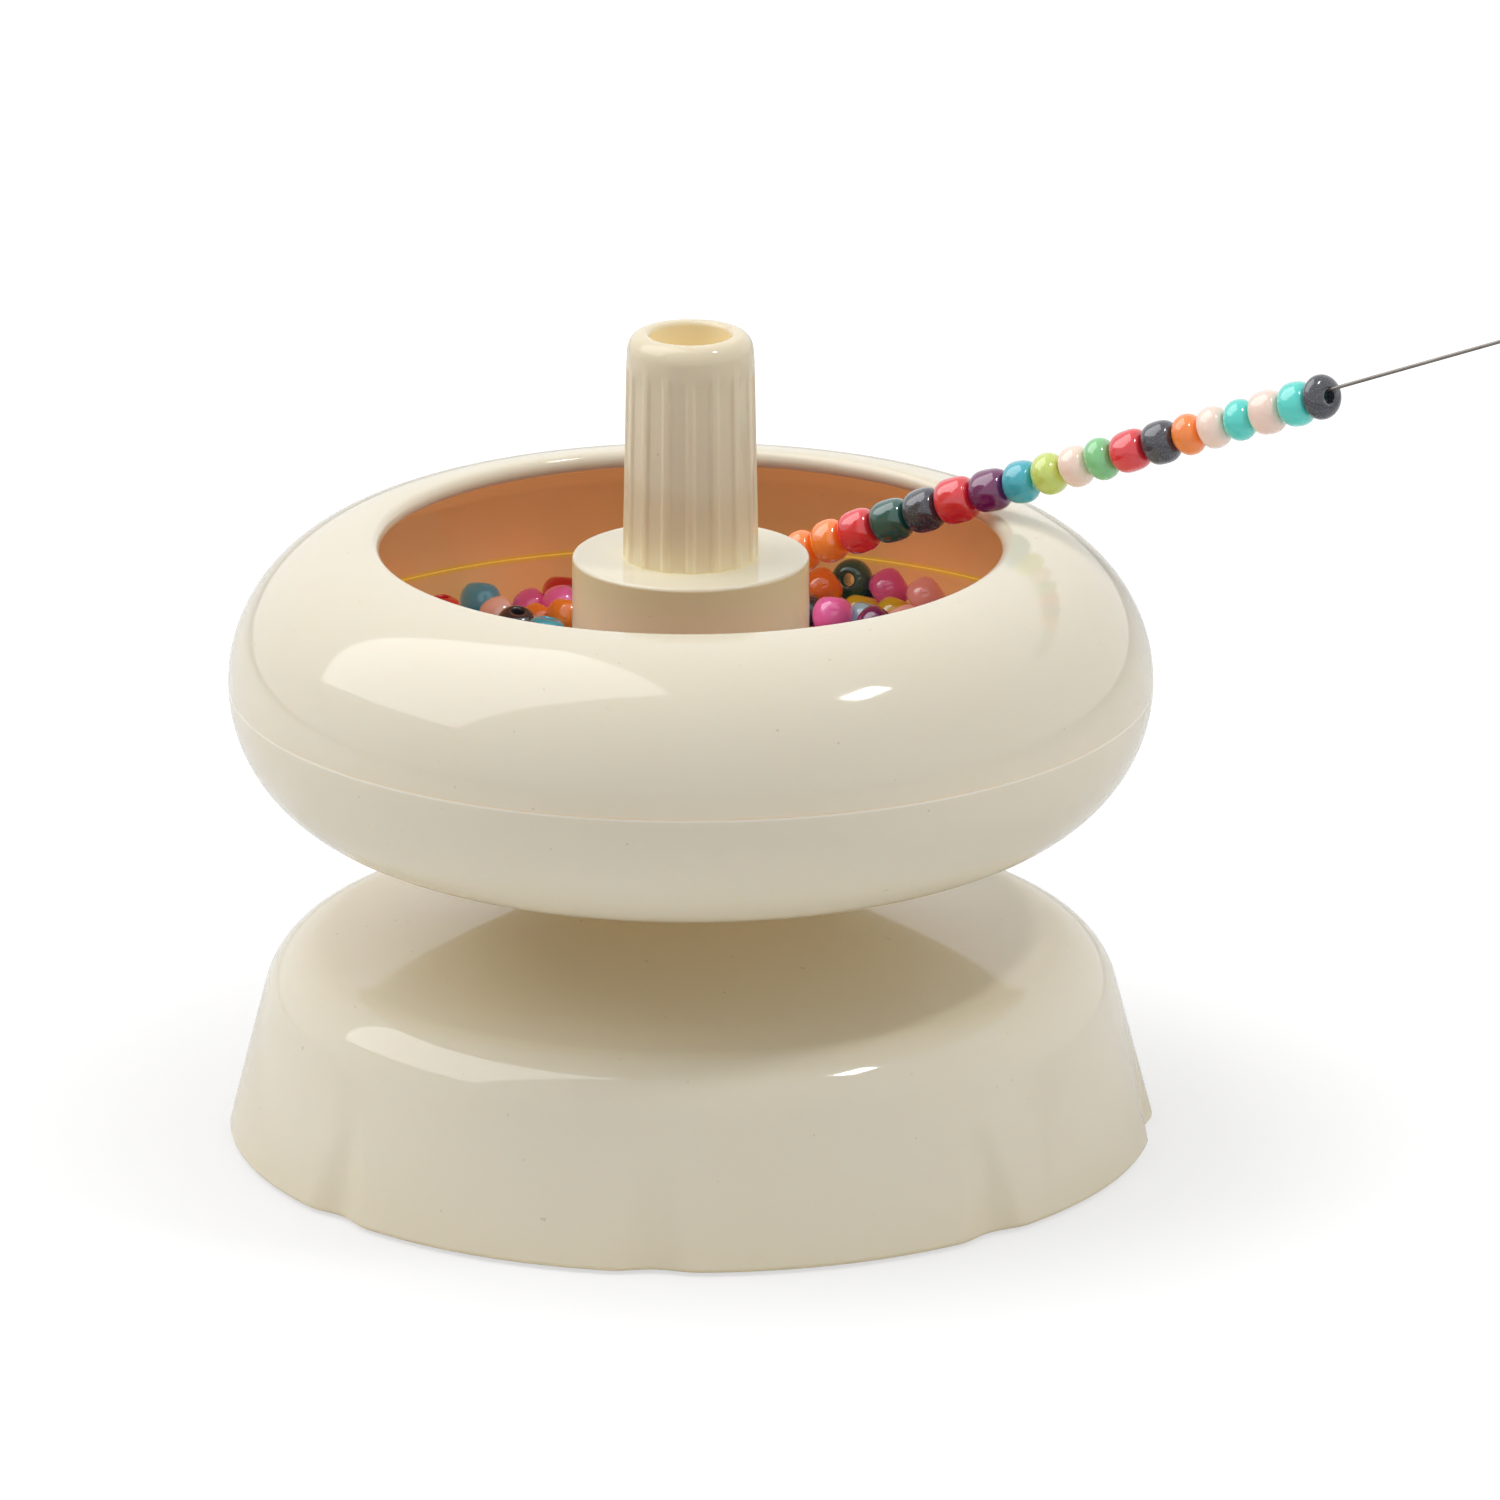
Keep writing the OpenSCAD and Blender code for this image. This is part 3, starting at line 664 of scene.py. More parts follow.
@dataclass
class SpinnerBase:
    """The scalloped base with its post, ribs and pad cups."""

    finishes: Finishes
    rim_r: float = 42.3
    draft: float = 14.6
    foot_z: float = 0.3
    shoulder_z: float = 12.0
    shoulder_round: float = 6.2
    top_slope: float = 3.0
    sweep_r: float = 70.0
    stem_r: float = 6.0
    stem_top: float = 27.7
    post_z: float = 4.6
    bore_r: float = 2.0
    wall: float = 2.0
    scallops: int = 8
    scallop_turn: float = -4.5
    groove_depth: float = 0.8
    groove_h: float = 11.0
    groove_half: float = 3.9
    rib_t: float = 1.4
    rib_z: float = 6.0
    pad_ring_r: float = 34.5
    cup_r: float = 4.6
    pad_r: float = 3.4
    pad_t: float = 1.4

    def _run(self, inset: float, far: bool) -> List[Point]:
        """Skirt, shoulder and sweep, moved in by the wall.

        Args:
            inset: How far the run lies inside the outer face.
            far: Whether the run starts at the rim.

        Returns:
            The points from the rim up to the stem.
        """
        tilt = math.radians(self.draft)
        c = self.rim_r - (self.shoulder_z - self.foot_z) * math.tan(tilt) - self.shoulder_round / math.cos(tilt)
        slope = math.radians(self.top_slope)
        far_r = self.shoulder_round + self.sweep_r
        sc = (c + far_r * math.sin(slope), self.shoulder_z + far_r * math.cos(slope))
        radius = self.sweep_r + inset
        end = math.degrees(math.asin((sc[0] - self.stem_r) / radius))
        foot = (self.rim_r - inset / math.cos(tilt), self.foot_z)
        top = (c + (self.shoulder_round - inset) * math.cos(tilt), self.shoulder_z + (self.shoulder_round - inset) * math.sin(tilt))
        skirt = [(foot[0] + (top[0] - foot[0]) * i / 14, foot[1] + (top[1] - foot[1]) * i / 14) for i in range(14)]
        run = arc((c, self.shoulder_z), self.shoulder_round - inset, self.draft, 90 - self.top_slope, 14)
        run += arc(sc, radius, -90 - self.top_slope, -90 - end, 26)[1:]
        return (skirt if far else []) + run

    def _groove(self, angle: float, radius: float, z: float) -> Tuple[float, float, float]:
        """Sinks the outer skirt into soft grooves that fade upwards.

        Args:
            angle: Turn of the point, in radians.
            radius: Its radius, in millimetres.
            z: Its height.

        Returns:
            The moved point.
        """
        tilt = math.tan(math.radians(self.draft))
        skirt_r = self.rim_r - (z - self.foot_z) * tilt
        if z > self.foot_z + self.groove_h or radius < skirt_r - self.wall * 1.2:
            return angle, radius, z
        step = 2 * math.pi / self.scallops
        turn = angle + math.pi / 2 - math.radians(self.scallop_turn)
        off = abs((turn + step / 2) % step - step / 2) * self.rim_r
        rise = (z - self.foot_z) / self.groove_h
        half = self.groove_half * (1 - 0.72 * rise)
        if off >= half:
            return angle, radius, z
        depth = self.groove_depth * (1 - rise) ** 1.15 * math.cos(math.pi / 2 * off / half) ** 1.6
        share = 1.0 if radius > skirt_r - self.wall * 0.4 else 0.8
        return angle, radius - depth * share, z

    def build(self) -> bpy.types.Object:
        """Returns the base moulding, which stands for the CAD base."""
        outer = self._run(0.0, True)
        inner = self._run(self.wall, True)
        line = Outline()
        line.to(inner[0][0], self.foot_z, 0.35).to(self.rim_r, self.foot_z, 0.5)
        line.along(outer[1:-1]).to(*outer[-1], 1.2).to(self.stem_r, self.stem_top, 0.4)
        line.to(self.bore_r, self.stem_top, 0.25).to(self.bore_r, self.post_z, 0.25)
        line.to(self.stem_r, self.post_z, 0.4).to(*inner[-1], 1.0).along(inner[1:-1][::-1])
        shell = turned("base_moulding", line, 384)
        shape(shell, self._groove)
        parts = [shell] + self._ribs() + self._cups()
        obj = join(parts, "base_moulding")
        # The base's finish: faint painted shade and painted glow where the surface is occluded.
        dress(obj, self.finishes.get(CreamPlastic()))
        return obj

    def _ceiling(self, radius: float) -> float:
        """Height of the underside at a radius, in millimetres.

        Args:
            radius: The radius.
        """
        run = self._run(self.wall * 0.5, True)
        if radius <= run[-1][0]:
            return run[-1][1]
        for (r0, z0), (r1, z1) in zip(run, run[1:]):
            if r1 <= radius <= r0:
                return z0 + (z1 - z0) * (r0 - radius) / max(r0 - r1, 1e-9)
        return self.foot_z

    def _ribs(self) -> List[bpy.types.Object]:
        """Returns the ribs under the top, from the post to the skirt."""
        tilt = math.tan(math.radians(self.draft))
        skirt = lambda z: self.rim_r - (z - self.foot_z) * tilt - self.wall * 0.6
        radii = [self.stem_r - 0.4, 9.0, 13.0, 18.0, 23.0, 28.0, 32.0]
        section = [(radii[0], self.rib_z), (skirt(self.rib_z), self.rib_z), (skirt(self.shoulder_z), self.shoulder_z)]
        section += [(r, self._ceiling(r)) for r in reversed(radii)]
        ribs = []
        for i in range(self.scallops):
            clear_selection()
            mesh = bpy.data.meshes.new("rib")
            mesh.from_pydata([(r * MM, -self.rib_t / 2 * MM, z * MM) for r, z in section], [], [list(range(len(section)))])
            obj = bpy.data.objects.new("rib", mesh)
            bpy.context.scene.collection.objects.link(obj)
            obj.select_set(True)
            bpy.context.view_layer.objects.active = obj
            bpy.ops.object.mode_set(mode="EDIT")
            bpy.ops.mesh.select_all(action="SELECT")
            bpy.ops.mesh.extrude_region_move(TRANSFORM_OT_translate={"value": (0, self.rib_t * MM, 0)})
            bpy.ops.mesh.select_all(action="SELECT")
            bpy.ops.mesh.normals_make_consistent(inside=False)
            bpy.ops.object.mode_set(mode="OBJECT")
            obj.rotation_euler = (0, 0, 2 * math.pi * i / self.scallops)
            settle(obj)
            bevel = obj.modifiers.new("soft_edges", "BEVEL")
            bevel.width, bevel.segments, bevel.limit_method = 0.25 * MM, 2, "ANGLE"
            bpy.ops.object.modifier_apply(modifier=bevel.name)
            ribs.append(obj)
        return ribs

    def _cups(self) -> List[bpy.types.Object]:
        """Returns the cups that hold the outer pads."""
        cups = []
        top = self.shoulder_z

        def under_skirt(angle: float, radius: float, z: float) -> Tuple[float, float, float]:
            """Keeps a point under the shell."""
            return angle, radius, min(z, self._ceiling(radius))

        for i in range(4):
            line = Outline()
            line.to(self.pad_r, self.foot_z, 0.2).to(self.cup_r, self.foot_z, 0.3).to(self.cup_r, top, 0.0)
            line.to(0.6, top, 0.0).to(0.6, self.pad_t, 0.0).to(self.pad_r, self.pad_t, 0.0)
            cup = turned("cup", line, 48)
            turn = math.pi / 4 + math.pi / 2 * i
            cup.location = (self.pad_ring_r * MM * math.cos(turn), self.pad_ring_r * MM * math.sin(turn), 0)
            settle(cup)
            shape(cup, under_skirt)
            cups.append(cup)
        return cups


# ---------------------------------------------------------------- the bowl


@dataclass
class BowlShells:
    """The two halves of the bowl, joined by a tongue in the middle of the wall."""

    finishes: Finishes
    ring_r: float = 28.85
    section_r: float = 13.15
    seam_z: float = 42.7
    wall: float = 1.7
    lip_angle: float = 89.0
    seam_gap: float = 0.01
    tongue_t: float = 0.6
    tongue_h: float = 1.5
    hub_r: float = 6.2
    hub_bore: float = 4.2
    hub_top: float = 52.4

    def _at(self, radius: float, angle: float) -> Point:
        """A point about the centre of the bowl's round section.

        Args:
            radius: Distance from the centre, in millimetres.
            angle: Degrees above outwards.

        Returns:
            The point.
        """
        a = math.radians(angle)
        return self.ring_r + radius * math.cos(a), self.seam_z + radius * math.sin(a)

    def upper(self) -> bpy.types.Object:
        """Returns the upper shell with its curled lip."""
        inner_r = self.section_r - self.wall
        groove = (inner_r + (self.wall - self.tongue_t) / 2 - 0.05, self.section_r - (self.wall - self.tongue_t) / 2 + 0.05)
        low = self.seam_z + self.seam_gap
        centre = (self.ring_r, self.seam_z)
        line = Outline()
        line.to(self.ring_r + self.section_r, low, 0.05)
        line.along(arc(centre, self.section_r, 1.6, self.lip_angle, 64))
        line.along(arc(self._at(self.section_r - self.wall / 2, self.lip_angle), self.wall / 2, self.lip_angle, self.lip_angle + 180, 12)[1:-1])
        line.along(arc(centre, inner_r, self.lip_angle, 1.6, 56))
        line.to(self.ring_r + inner_r, low, 0.1)
        line.to(self.ring_r + groove[0], low).to(self.ring_r + groove[0], low + self.tongue_h)
        line.to(self.ring_r + groove[1], low + self.tongue_h).to(self.ring_r + groove[1], low)
        obj = turned("bowl_upper_shell", line, 256)
        # The bowl's finish: painted shade and a painted glow where occluded; on the inner face a painted warm shade
        # colour and glow, with painted lines of light along the seam.
        dress(obj, self.finishes.get(CreamPlastic(name="cream_bowl", reach=0.008, glow=0.21, inside=True)))
        return obj

    def lower(self) -> bpy.types.Object:
        """Returns the lower shell with its floor and hub tube."""
        inner_r = self.section_r - self.wall
        tongue = (inner_r + (self.wall - self.tongue_t) / 2, self.section_r - (self.wall - self.tongue_t) / 2)
        bottom, floor = self.seam_z - self.section_r, self.seam_z - inner_r
        centre = (self.ring_r, self.seam_z)
        line = Outline()
        line.to(self.hub_bore, bottom, 0.3).to(self.ring_r - 2.0, bottom)
        line.along(arc(centre, self.section_r, -90, -1.6, 56))
        line.to(self.ring_r + self.section_r, self.seam_z, 0.26)
        line.to(self.ring_r + tongue[1], self.seam_z).to(self.ring_r + tongue[1], self.seam_z + self.tongue_h)
        line.to(self.ring_r + tongue[0], self.seam_z + self.tongue_h).to(self.ring_r + tongue[0], self.seam_z)
        line.to(self.ring_r + inner_r, self.seam_z, 0.1)
        line.along(arc(centre, inner_r, -1.6, -90, 48)).to(self.hub_r, floor, 0.8)
        line.to(self.hub_r, self.hub_top, 0.2).to(self.hub_bore, self.hub_top, 0.2)
        obj = turned("bowl_lower_shell", line, 256)
        # The bowl's finish: painted shade and a painted glow where occluded; on the inner face a painted warm shade
        # colour and glow, with painted lines of light along the seam.
        dress(obj, self.finishes.get(CreamPlastic(name="cream_bowl", reach=0.008, glow=0.21, inside=True)))
        return obj


@dataclass
class Hub:
    """The flat-topped collar and the fluted finger knob on it."""

    finishes: Finishes
    collar_r: float = 10.75
    collar_top: float = 54.4
    collar_wall: float = 1.6
    collar_floor: float = 31.25
    top_t: float = 2.0
    hub_r: float = 6.2
    bore: float = 4.2
    sleeve_h: float = 9.0
    foot_r: float = 6.15
    knob_r: float = 5.75
    knob_top: float = 75.3
    crown_in: float = 1.35
    crown_down: float = 1.75
    hole_round: float = 0.45
    hole_r: float = 3.7
    hole_h: float = 16.0
    plug_h: float = 5.6
    flutes: int = 16
    flute_depth: float = 0.25
    flute_half: float = 0.34
    flute_stop: float = 4.0

    def collar(self) -> bpy.types.Object:
        """Returns the collar."""
        under = self.collar_top - self.top_t
        sleeve = self.hub_r + self.collar_wall
        inner = self.collar_r - self.collar_wall
        line = Outline()
        line.to(inner, self.collar_floor, 0.2).to(self.collar_r, self.collar_floor, 0.2)
        line.to(self.collar_r, self.collar_top, 0.32).to(self.bore, self.collar_top, 0.2)
        line.to(self.bore, under).to(self.hub_r, under).to(self.hub_r, under - self.sleeve_h)
        line.to(sleeve, under - self.sleeve_h, 0.2).to(sleeve, under, 0.3).to(inner, under, 0.3)
        obj = turned("hub_drum", line, 192)
        # The drum's finish: painted shade towards an olive tint and a painted glow where occluded, and a painted warm
        # band just under its top edge.
        dress(obj, self.finishes.get(CreamPlastic(name="cream_drum", mottle_and_shade_tint=(0.73, 0.72, 0.40), reach=0.030, glow=0.15, painted_shade_share=0.42,
                                                 painted_glow_colour=(1.0, 0.88, 0.58),
                                                 painted_band_top=self.collar_top)))
        return obj

    def _flute(self, angle: float, radius: float, z: float) -> Tuple[float, float, float]:
        """Sinks the knob's side into flutes that leave narrow rounded ribs.

        Args:
            angle: Turn of the point, in radians.
            radius: Its radius, in millimetres.
            z: Its height.

        Returns:
            The moved point.
        """
        if radius < self.knob_r - 0.9 or z < self.collar_top - 0.01:
            return angle, radius, z
        pitch = 2 * math.pi / self.flutes
        off = abs((angle + math.pi / 2 + pitch / 2) % pitch - pitch / 2) / pitch
        rib = 0.5 - self.flute_half
        inside = min(max((off - rib * 0.55) / (rib * 0.9), 0.0), 1.0)
        inside = inside * inside * (3 - 2 * inside)
        dish = 0.8 + 0.2 * math.cos(math.pi * (0.5 - off) / (0.5 - rib * 0.5) * 0.5)
        fade = min(max((self.knob_top - self.flute_stop - z) / 1.3 + 1.0, 0.0), 1.0)
        fade = fade * fade * (3 - 2 * fade) * (0.55 + 0.45 * min((z - self.collar_top) / 0.6, 1.0))
        return angle, radius - self.flute_depth * inside * dish * fade, z

    def knob(self) -> bpy.types.Object:
        """Returns the finger knob."""
        side = self.knob_top - self.collar_top
        rows = 30
        wall = [(self.foot_r + (self.knob_r - self.foot_r) * i / rows, self.collar_top + side * i / rows) for i in range(1, rows - 3)]
        line = Outline()
        floor = self.knob_top - self.hole_h
        line.to(0.0, self.collar_top - self.plug_h).to(self.bore, self.collar_top - self.plug_h, 0.3)
        line.to(self.bore, self.collar_top).to(self.foot_r, self.collar_top, 0.12).along(wall)
        crown = arc((0.0, 0.0), 1.0, 0.0, 90.0, 12)
        line.along([(self.knob_r - self.crown_in * (1 - x), self.knob_top - self.crown_down * (1 - y)) for x, y in crown])
        line.along(arc((self.hole_r + self.hole_round, self.knob_top - self.hole_round), self.hole_round, 90.0, 180.0, 8))
        line.to(self.hole_r, floor, 0.8).to(0.0, floor)
        obj = turned("finger_knob", line, 384, closed=False)
        shape(obj, self._flute)
        # The knob's finish: painted shade and a painted glow where the surface is occluded.
        milky = CreamPlastic(name="cream_knob", colour=(0.82, 0.725, 0.53), mottle_and_shade_tint=(0.80, 0.67, 0.36), milk=0.45, depth=0.0008,
                             spread=(1.0, 0.8, 0.55), reach=0.016, glow=0.20, painted_glow_colour=(1.0, 0.82, 0.46))
        dress(obj, self.finishes.get(milky))
        return obj


# ---------------------------------------------------------------- beads


@dataclass
class BeadShape:
    """One bead: a short barrel with a hole, soft at every edge, in millimetres."""

    width: float = 4.0
    length: float = 3.1
    hole: float = 0.65
    square: float = 2.6
    steps: int = 10
    rings: int = 4

    def build(self, name: str) -> bpy.types.Object:
        """Returns the bead about the origin, its hole along Z.

        Args:
            name: The object's name.
        """
        r, half = self.width / 2, self.length / 2
        rim = self.hole * 1.12
        points = []
        for i in range(self.rings + 1):
            t = -math.pi / 2 + math.pi * i / self.rings
            c, s = max(math.cos(t), 0.0), math.sin(t)
            points.append((rim + (r - rim) * c ** (2 / self.square), half * math.copysign(abs(s) ** (2 / self.square), s)))
        inner = half * 0.86
        line = Outline().along([(self.hole, -inner)] + points + [(self.hole, inner)])
        return turned(name, line, self.steps)


def scatter(template: bpy.types.Object, places: Sequence[Matrix], tones: Sequence[float], name: str) -> bpy.types.Object:
    """Copies one bead to many places as a single mesh, with a tone for each bead.

    Args:
        template: The bead about the origin.
        places: Where each copy goes.
        tones: A number from 0 to 1 for each copy, stored as bead_tone.
        name: The new object's name.

    Returns:
        The object with all the copies.
    """
    src = template.data
    co = np.array([v.co for v in src.vertices])
    faces = [list(p.vertices) for p in src.polygons]
    verts, polys, tone = [], [], []
    for place, shade in zip(places, tones):
        m = np.array(place)
        base = len(verts) * len(co)
        verts.append(co @ m[:3, :3].T + m[:3, 3])
        polys.extend([[base + i for i in f] for f in faces])
        tone.extend([shade] * len(co))
    mesh = bpy.data.meshes.new(name)
    mesh.from_pydata(np.concatenate(verts).tolist(), [], polys)
    mesh.attributes.new("bead_tone", "FLOAT", "POINT").data.foreach_set("value", tone)
    obj = bpy.data.objects.new(name, mesh)
    bpy.context.scene.collection.objects.link(obj)
    mesh.polygons.foreach_set("use_smooth", [True] * len(mesh.polygons))
    mesh.update()
    return obj


@dataclass(frozen=True)
class SeenBead:
    """A bead that the photograph shows: its place, the way its hole points, its tone and its size."""

    bead: Bead
    centre: Tuple[float, float, float]
    way: Tuple[float, float, float]
    tone: float
    width: float = 3.8
    length: float = 3.1

    def place(self, unit: float) -> Matrix:
        """Returns the bead's matrix.

        Args:
            unit: Length of a millimetre.
        """
        turn = Vector(self.way).to_track_quat("Z", "Y").to_matrix().to_4x4()
        return Matrix.Translation(Vector(self.centre) * unit) @ turn


SEEN_BEADS = (
    SeenBead(Bead.TEAL, (-19.5, 31.8, 40.2), (0.1, 0.35, 0.93), 0.05, 3.9, 3.4),
    SeenBead(Bead.PINK, (-17.8, 28.8, 39.6), (0.9, 0.15, 0.4), 0.55),
    SeenBead(Bead.BLACK, (-16.1, 25.5, 39.8), (0.1, -0.25, 0.95), 0.40),
    SeenBead(Bead.ROSE, (-14.8, 32.4, 39.4), (0.8, 0.12, 0.55), 0.80, 3.6),
    SeenBead(Bead.ORANGE, (-14.0, 28.0, 39.3), (0.5, 0.3, 0.8), 0.80),
    SeenBead(Bead.TEAL, (-13.4, 23.0, 39.7), (0.2, 0.1, 0.95), 0.85),
    SeenBead(Bead.RED, (-11.9, 34.1, 40.2), (0.1, 0.35, 0.93), 0.55, 3.9),
    SeenBead(Bead.ROSE, (-12.0, 30.7, 40.1), (0.95, 0.1, 0.3), 0.92),
    SeenBead(Bead.ORANGE, (-11.5, 25.9, 40.5), (0.2, 0.33, 0.92), 0.95),
    SeenBead(Bead.ORANGE, (12.2, 31.6, 41.5), (0.8, 0.15, 0.6), 0.55, 3.8, 3.3),
    SeenBead(Bead.GREEN, (15.0, 33.6, 41.7), (-0.35, -0.9, 0.25), 0.90, 3.9, 2.8),
    SeenBead(Bead.ROSE, (18.4, 31.6, 41.4), (0.85, 0.15, 0.5), 0.45, 3.9, 3.3),
    SeenBead(Bead.PINK, (21.8, 28.5, 41.6), (0.8, 0.2, 0.57), 0.12),
    SeenBead(Bead.ROSE, (13.1, 25.4, 40.75), (0.1, 0.4, 0.91), 1.00, 3.8, 3.3),
    SeenBead(Bead.BLACK, (10.9, 29.0, 39.7), (0.9, 0.2, 0.3), 0.60),
    SeenBead(Bead.YELLOW, (15.8, 30.3, 39.5), (0.2, 0.3, 0.9), 0.35),
    SeenBead(Bead.SKY, (16.2, 26.5, 39.9), (0.3, 0.2, 0.9), 0.90),
    SeenBead(Bead.PURPLE, (17.1, 23.0, 40.5), (0.6, 0.1, 0.7), 0.80),
    SeenBead(Bead.BLACK, (17.0, 33.5, 38.9), (0.2, 0.9, 0.2), 0.30),
    SeenBead(Bead.YELLOW, (18.9, 28.7, 39.7), (0.4, 0.3, 0.8), 0.30),
    SeenBead(Bead.PINK, (19.6, 25.3, 40.0), (-0.4, 0.3, 0.8), 0.40),
)


@dataclass
class LooseBeads:
    """The beads in the bowl, dropped in and left to settle, then sorted by colour."""

    finishes: Finishes
    seed: int = 11
    ring_r: float = 28.85
    inner_r: float = 11.4
    seam_z: float = 42.7
    collar_r: float = 10.9
    floor_in: float = 36.5
    floor_out: float = 38.1
    pitches: Tuple[float, ...] = (4.5, 6.4)
    frames: int = 50
    scale: float = 0.1
    width: float = 3.8
    length: float = 3.1

    def _floor(self, radius: float) -> float:
        """Height of what the beads rest on, in millimetres.

        Args:
            radius: Distance from the spindle's axis.
        """
        return self.floor_in + (self.floor_out - self.floor_in) * (radius - 10.75) / 31.25

    def _tub(self) -> bpy.types.Object:
        """Returns the bowl's inside as the beads feel it, in the simulation's units."""
        start = math.degrees(math.asin((self._floor(40.0) - self.seam_z) / self.inner_r))
        line = Outline()
        line.along([(self.collar_r, 58.0)] + [(r, self._floor(r)) for r in (self.collar_r, 16.0, 22.0, 28.0, 34.0, 38.0)])
        line.along(arc((self.ring_r, self.seam_z), self.inner_r, start, 85.0, 14))
        points = line.points(False)
        clear_selection()
        tub = turned_open("tub", points, 48)
        tub.scale = (self.scale / MM,) * 3
        settle(tub)
        return tub

    def _drop(self) -> List[Matrix]:
        """Drops the beads into the tub and returns where they come to rest, in metres."""
        scene = bpy.context.scene
        rng = random.Random(self.seed)
        tub = self._tub()
        bpy.ops.rigidbody.world_add()
        world = scene.rigidbody_world
        world.substeps_per_frame, world.solver_iterations = 6, 12
        bpy.ops.rigidbody.object_add(type="PASSIVE")
        tub.rigid_body.collision_shape, tub.rigid_body.mesh_source = "MESH", "BASE"
        tub.rigid_body.friction, tub.rigid_body.use_margin, tub.rigid_body.collision_margin = 0.5, True, 0.005
        bpy.ops.mesh.primitive_cylinder_add(vertices=12, radius=self.width / 2 * self.scale, depth=self.length * self.scale)
        first = bpy.context.object
        fixed = []
        for seen in SEEN_BEADS:
            stay = bpy.data.objects.new("stays", first.data)
            scene.collection.objects.link(stay)
            stay.matrix_world = seen.place(self.scale)
            fixed.append(stay)
        clear_selection()
        for stay in fixed:
            stay.select_set(True)
        bpy.context.view_layer.objects.active = fixed[0]
        bpy.ops.rigidbody.objects_add(type="PASSIVE")
        for stay in fixed:
            stay.rigid_body.collision_shape = "CYLINDER"
        beads = []
        for layer, pitch in enumerate(self.pitches):
            z = self._floor(25.0) + 3.2 + layer * 4.4
            r = 13.4
            while r < 37.8:
                count, phase = int(2 * math.pi * r / pitch), rng.random() * 2 * math.pi
                for i in range(count):
                    a = phase + 2 * math.pi * i / count
                    x, y = r * math.cos(a), r * math.sin(a)
                    if any(math.hypot(x - s.centre[0], y - s.centre[1]) < 3.9 for s in SEEN_BEADS):
                        continue
                    bead = bpy.data.objects.new("dropped", first.data)
                    scene.collection.objects.link(bead)
                    bead.location = Vector((x, y, z + rng.uniform(-0.3, 0.3))) * self.scale
                    bead.rotation_euler = [rng.uniform(0, 2 * math.pi) for _ in range(3)]
                    beads.append(bead)
                r += pitch * 0.98
        clear_selection()
        for bead in beads:
            bead.select_set(True)
        bpy.context.view_layer.objects.active = beads[0]
        bpy.ops.rigidbody.objects_add(type="ACTIVE")
        for bead in beads:
            body = bead.rigid_body
            body.mass, body.collision_shape, body.friction, body.restitution = 0.1, "CYLINDER", 0.35, 0.05
            body.use_margin, body.collision_margin = True, 0.005
            body.linear_damping, body.angular_damping = 0.1, 0.3
        for f in range(1, self.frames + 1):
            scene.frame_set(f)
        graph = bpy.context.evaluated_depsgraph_get()
        places = []
        for bead in beads:
            m = bead.evaluated_get(graph).matrix_world.copy()
            m.translation = m.translation / self.scale * MM
            places.append(m)
        bpy.ops.rigidbody.world_remove()
        for obj in beads + fixed + [first, tub]:
            bpy.data.objects.remove(obj)
        scene.frame_set(1)
        return places

    def build(self, keep_clear: Callable[[Vector], bool]) -> List[bpy.types.Object]:
        """Returns one object of beads for each colour.

        Args:
            keep_clear: Says whether a bead's centre, in millimetres, is too close to the needle.
        """
        places = [m for m in self._drop() if not keep_clear(m.translation / MM)]
        rng = random.Random(self.seed + 2)
        usual = [Bead.ORANGE, Bead.RED, Bead.GREEN, Bead.BLACK, Bead.PURPLE, Bead.TEAL, Bead.ROSE, Bead.PINK, Bead.YELLOW, Bead.SKY]
        colours = rng.choices(usual, weights=[16, 11, 8, 8, 6, 9, 15, 14, 7, 8], k=len(places))
        shapes = [BeadShape(width=self.width, length=self.length, hole=0.6, square=q).build("bead_blank") for q in (2.1, 2.5)]
        fine = BeadShape(width=1.0, length=1.0, hole=0.16, square=2.12, steps=32, rings=14).build("bead_blank")
        made = []
        for bead in usual:
            mine = [i for i, c in enumerate(colours) if c is bead]
            parts = []
            for k, blank in enumerate(shapes):
                half = [places[i] @ self._size(rng) for i in mine if i % 2 == k]
                parts.append(scatter(blank, half, [rng.random() for _ in half], "settled"))
            seen = [s for s in SEEN_BEADS if s.bead is bead]
            if seen:
                spots = [s.place(MM) @ Matrix.Diagonal((s.width, s.width, s.length, 1.0)) for s in seen]
                parts.append(scatter(fine, spots, [s.tone for s in seen], "seen"))
            obj = join(parts, "settled_beads_" + bead.word)
            dress(obj, self.finishes.get(bead.finish()))
            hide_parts("loose_beads_" + bead.word)
            made.append(obj)
        for blank in shapes + [fine]:
            bpy.data.objects.remove(blank)
        return made

    @staticmethod
    def _size(rng: random.Random) -> Matrix:
        """Returns a bead's own share of the full size.

        Args:
            rng: The source of chance.
        """
        across = rng.uniform(0.90, 1.0)
        return Matrix.Diagonal((across, across, rng.uniform(0.82, 1.0), 1.0))


def turned_open(name: str, points: Sequence[Point], steps: int) -> bpy.types.Object:
    """Spins an open line of points round the spindle's axis.

    Args:
        name: The object's name.
        points: The points, in millimetres.
        steps: Steps of the full turn.

    Returns:
        The object, in metres.
    """
    mesh = bpy.data.meshes.new(name)
    mesh.from_pydata([(r * MM, 0, z * MM) for r, z in points], [(i, i + 1) for i in range(len(points) - 1)], [])
    obj = bpy.data.objects.new(name, mesh)
    bpy.context.scene.collection.objects.link(obj)
    obj.select_set(True)
    bpy.context.view_layer.objects.active = obj
    bpy.ops.object.mode_set(mode="EDIT")
    bpy.ops.mesh.select_all(action="SELECT")
    bpy.ops.mesh.spin(steps=steps, angle=2 * math.pi, center=(0, 0, 0), axis=(0, 0, 1))
    bpy.ops.mesh.select_all(action="SELECT")
    bpy.ops.mesh.remove_doubles(threshold=2e-7)
    bpy.ops.object.mode_set(mode="OBJECT")
    return obj


